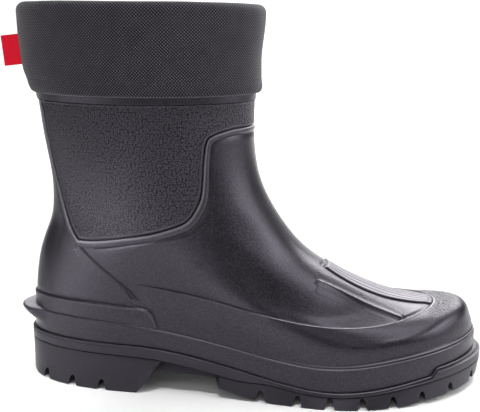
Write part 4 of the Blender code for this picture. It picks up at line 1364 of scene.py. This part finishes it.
def cut_lugs(sole):
    """Cuts the channels, bars and notches into the sole."""
    cuts = bpy.data.collections.new("tread_cuts")
    bpy.context.scene.collection.children.link(cuts)
    tools = [channel_cutter(HEEL_CHANNEL), channel_cutter(FOREFOOT_CHANNEL)]
    tools += [bar_cutter(s, HEEL_CHANNEL) for s in HEEL_BARS]
    tools += [bar_cutter(s, FOREFOOT_CHANNEL) for s in FOREFOOT_BARS]
    tools += [notch_cutter(s, inner) for s in HEEL_CUTS + FOREFOOT_CUTS for inner in (False, True)]
    for tool in tools:
        bpy.context.scene.collection.objects.unlink(tool)
        cuts.objects.link(tool)
    lugs = sole.modifiers.new("Lugs", "BOOLEAN")
    lugs.operation = "DIFFERENCE"
    lugs.solver = "EXACT"
    lugs.operand_type = "COLLECTION"
    lugs.collection = cuts
    made = bpy.data.meshes.new_from_object(sole.evaluated_get(bpy.context.evaluated_depsgraph_get()))
    sole.modifiers.clear()
    sole.data = made
    for tool in tools:
        bpy.data.objects.remove(tool)
    bpy.data.collections.remove(cuts)


def make_outsole():
    """Heel block, arch and forefoot under a rounded rim, cut into lugs."""
    turns = sole_turns()
    rings = sole_rings(turns)
    sole = cutter("outsole_tread", np.concatenate(rings), closed_faces(len(rings), len(turns)))
    cut_lugs(sole)
    sole.data.shade_smooth()
    sole.data.set_sharp_from_angle(angle=math.radians(SHARP_ANGLE))
    points = np.empty(len(sole.data.vertices) * 3)
    sole.data.vertices.foreach_get("co", points)
    points = points.reshape(-1, 3) / MM + ORIGIN
    drop = tread_line(points[:, 0]) - points[:, 2]
    # Painted highlights along the rim's edges
    mark(sole, "edge", beads(drop, *RIM_LIPS) * vary(points[:, 0], *OUTSOLE_HIGHLIGHT))
    sole.data.materials.clear()
    sole.data.materials.append(make_rubber())
    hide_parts("outsole")
    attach(sole, "root")


# The insole from its edge in: clearance from the wall, rise over the midsole
INSOLE_SECTION = ((1.2, FIT_GAP), (1.2, 2.4), (1.4, 3.2), (1.9, 3.8), (2.8, INSOLE_THICKNESS), (6, 4.0),
                  (12, 3.8), (20, 3.5), (28, 3.4))


def make_insole():
    turns = round_turns(INSOLE_TURNS)
    rings = []
    for clearance, rise in INSOLE_SECTION:
        edge = wall(np.full(turns.shape, INSOLE_LEVEL), turns, np.full(turns.shape, -(WALL + clearance)))
        edge[:, 2] = bed_height(edge[:, 0]) + rise
        rings.append(edge)
    middle = rings[-1].copy()
    middle[:, 1] = swing(middle[:, 0])
    rings.append(middle)
    insole = grid_object("insole_pad", np.array(rings), round_columns=True)
    insole.data.materials.append(make_felt("insole_felt", INSOLE_COLOURS, INSOLE_FIBRE))
    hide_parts("insole")
    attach(insole, "root")


# Cuff and label

def cuff_ring(rows, turns):
    """Points of the cuff's cloth: one row for each row of its profile."""
    level = np.minimum(rows[:, 0], TOP_LEVEL)[:, None] + 0 * turns[None, :]
    turn = turns[None, :] + 0 * level
    front_reach, front_in, front_dip = CUFF_FRONT
    back_reach, back_in, back_dip = CUFF_BACK
    at_front = bump_at(turn, math.pi, front_reach)
    at_back = bump_at(np.minimum(turn, 2 * math.pi - turn), 0, back_reach)
    closer = front_in * at_front * bump_at(level, *CUFF_FRONT_LEVEL)
    closer += back_in * at_back * (1 - ease(level, *CUFF_BACK_LEVELS))
    outside = rows[:, 1][:, None] > 0
    points = wall(level, turn, rows[:, 1][:, None] - outside * closer)
    dip = ease(level, *CUFF_DIP_LEVELS) * (front_dip * at_front + back_dip * at_back)
    points[..., 2] += rows[:, 2][:, None] - dip
    return points


def make_cuff():
    turns = round_turns(CUFF_TURNS)
    table = np.array(CUFF_CLOTH_PATH, float)
    run = run_along(cuff_ring(table, np.array([math.pi / 2]))[:, 0])
    length = run[-1]
    at = np.linspace(0, length, CUFF_ROWS)
    outer = cuff_ring(spline(run, table, at), turns)
    girth = run_along(outer[CUFF_GIRTH_ROW])
    along_profile = np.gradient(outer, axis=0)
    round_it = np.roll(outer, -1, 1) - np.roll(outer, 1, 1)
    normal = unit(np.cross(round_it, along_profile))
    wave = sum(high * np.sin(count * turns + phase) for high, count, phase in CUFF_WAVES)
    place, reach = CUFF_WAVE_PLACE
    wave = wave * bump_at(at, length * place, length * reach)[:, None]
    outer = outer + normal * wave[..., None]
    face = np.concatenate([outer + normal * CUFF_CLOTH / 2, (outer - normal * CUFF_CLOTH / 2)[::-1]])
    cuff = grid_object("cuff_band", face, round_rows=True, round_columns=True)
    across = np.repeat(girth[None, :], len(face), 0)
    lay_flat(cuff, across, np.concatenate([at, at[::-1]])[:, None] + np.zeros_like(across))
    cuff.data.materials.append(make_twill())
    stitch_hem(outer, normal, at, run)
    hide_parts("cuff")
    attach(cuff, "root")
    seam_length = float(np.linalg.norm(np.diff(outer[CUFF_GIRTH_ROW], axis=0), axis=1).sum())


def stitch_hem(cloth, normal, at, run):
    """A row of short stitches along the hem, sunk in its seam."""
    row = np.argmin(np.abs(at - run[HEM_SEAM_ROW]))
    line = cloth[row] + normal[row] * (CUFF_CLOTH / 2 - STITCH_SUNK)
    length = run_along(line)
    points = []
    faces = []
    angles = round_turns(STITCH_SIDES)
    for start in np.arange(0, length[-1] - STITCH_PITCH, STITCH_PITCH):
        middle, ahead = (np.array([np.interp(start + gap, length, line[:, k]) for k in range(3)])
                         for gap in (STITCH_PITCH / 2, STITCH_PITCH / 2 + 0.3))
        out = normal[row, np.argmin(np.abs(length - start))]
        way = unit(ahead - middle)
        up = np.cross(way, out)
        ring = [out * math.cos(angle) + up * math.sin(angle) for angle in angles]
        first = len(points)
        for share in np.linspace(-1, 1, STITCH_RINGS):
            thick = STITCH_THICKNESS * math.sqrt(max(1 - share ** 4, 0.02))
            points += [middle + way * share * STITCH_LENGTH / 2 + side * thick for side in ring]
        stitch = grid_faces(STITCH_RINGS, STITCH_SIDES, round_columns=True)
        faces += [[first + corner for corner in face] for face in stitch]
    stitches = mesh_object("hem_stitches", points, faces)
    thread = Nodes("hem_thread")
    grain = thread.noise(thread.point(), THREAD_GRAIN)
    thread.set(Base_Color=thread.mix(grain, *THREAD_COLOURS), Roughness=0.7)
    stitches.data.materials.append(thread.material)
    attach(stitches, "root")


def make_label():
    """A bare red ribbon folded double, sewn into the back seam."""
    back = np.array([0.0])
    low, high = (wall(np.array([level]), back, np.array([LABEL_STAND]))[0] for level in LABEL_LEVELS)
    low = low - unit(high - low) * LABEL_LONGER
    out = np.linspace(0, 1, LABEL_GRID[0])[:, None]
    up = np.linspace(0, 1, LABEL_GRID[1])[None, :]
    hang = np.array([-LABEL_REACH - LABEL_FURTHER, 0, -LABEL_DROP])
    middle = low + (high - low) * up[..., None] + hang * out[..., None]
    middle[..., 1] += LABEL_BEND * np.sin(out * LABEL_BEND_TURN)
    half = LABEL_THICKNESS / 2 * np.sqrt(np.clip(1 - out ** LABEL_ROUNDING, 0, 1)) + 0 * up
    faces = []
    for sign in (-1, 1):
        face = middle.copy()
        face[..., 1] += sign * half
        faces.append(face)
    label = grid_object("label_ribbon", np.concatenate([faces[0], faces[1][::-1]]), round_rows=True)
    label.data.materials.append(make_ribbon())
    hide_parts("label_tab")
    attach(label, "root")


# Stage, light and camera

def make_stage():
    """A pale floor that sweeps up behind the boot."""
    bend = np.linspace(0, math.pi / 2, SWEEP_STEPS)
    across = [FLOOR_FRONT, *(FLOOR_BACK + SWEEP_RADIUS * np.sin(bend)), FLOOR_BACK + SWEEP_RADIUS]
    high = [0.0, *(SWEEP_RADIUS * (1 - np.cos(bend))), SWEEP_TOP]
    profile = np.stack([np.zeros(len(high)), across, high], -1)
    sides = np.array([[[-FLOOR_REACH, 0, 0]], [[FLOOR_REACH, 0, 0]]]) + (ORIGIN[0], 0, 0)
    floor = grid_object("floor", profile[None] + sides, flip=True)
    pale = Nodes("pale_floor")
    pale.set(Base_Color=FLOOR_COLOUR, Roughness=0.9)
    floor.data.materials.append(pale.material)
    world = bpy.data.worlds.new("studio")
    world.use_nodes = True
    background = world.node_tree.nodes["Background"]
    background.inputs["Color"].default_value = (1.0, 1.0, 1.0, 1.0)
    background.inputs["Strength"].default_value = WORLD_STRENGTH
    bpy.context.scene.world = world
    bpy.context.scene.view_settings.view_transform = "Standard"


def stand(name, data, place, right, forward, up):
    """Puts a light or the camera at a place in the frame, looking forward."""
    obj = bpy.data.objects.new(name, data)
    bpy.context.scene.collection.objects.link(obj)
    obj.matrix_world = Matrix.Translation(place) @ Matrix((right, up, -forward)).transposed().to_4x4()
    return obj


def make_light(name, kind, place, target, power):
    """A light at a place, facing a point."""
    data = bpy.data.lights.new(name, kind)
    data.energy = power
    place, target = to_frame(place), to_frame(target)
    forward = unit(target - place)
    right = unit(np.cross(forward, (0, 0, 1)))
    stand(name, data, place, right, forward, np.cross(right, forward))
    return data


def make_lights():
    for name, place, target, size, power in SOFTBOXES:
        data = make_light(name, "AREA", place, target, power)
        data.shape = "RECTANGLE"
        data.size, data.size_y = size[0] * MM, size[1] * MM
    for name, place, target, cone, power in FLOOR_POOLS:
        data = make_light(name, "SPOT", place, target, power)
        data.spot_size = math.radians(cone)
        data.spot_blend = POOL_BLEND
        data.shadow_soft_size = POOL_LAMP * MM


def make_camera():
    data = bpy.data.cameras.new("camera")
    data.lens = CAMERA_LENS
    data.sensor_width = CAMERA_SENSOR
    data.clip_start = 0.01
    yaw, pitch, roll = (math.radians(x) for x in (CAMERA_YAW, CAMERA_PITCH, CAMERA_ROLL))
    level = np.array([-math.sin(yaw), math.cos(yaw), 0.0])
    right = np.array([math.cos(yaw), math.sin(yaw), 0.0])
    forward = level * math.cos(pitch) - np.array([0.0, 0.0, math.sin(pitch)])
    up = np.cross(right, forward)
    turned_right = right * math.cos(roll) + up * math.sin(roll)
    turned_up = up * math.cos(roll) - right * math.sin(roll)
    camera = stand("camera", data, to_frame(CAMERA_PLACE), turned_right, forward, turned_up)
    bpy.context.scene.camera = camera


def main():
    make_camera()
    make_stage()
    make_lights()
    foam = make_upper()
    make_centre_strip(foam)
    make_lining()
    make_midsole()
    make_outsole()
    make_insole()
    make_cuff()
    make_label()


main()
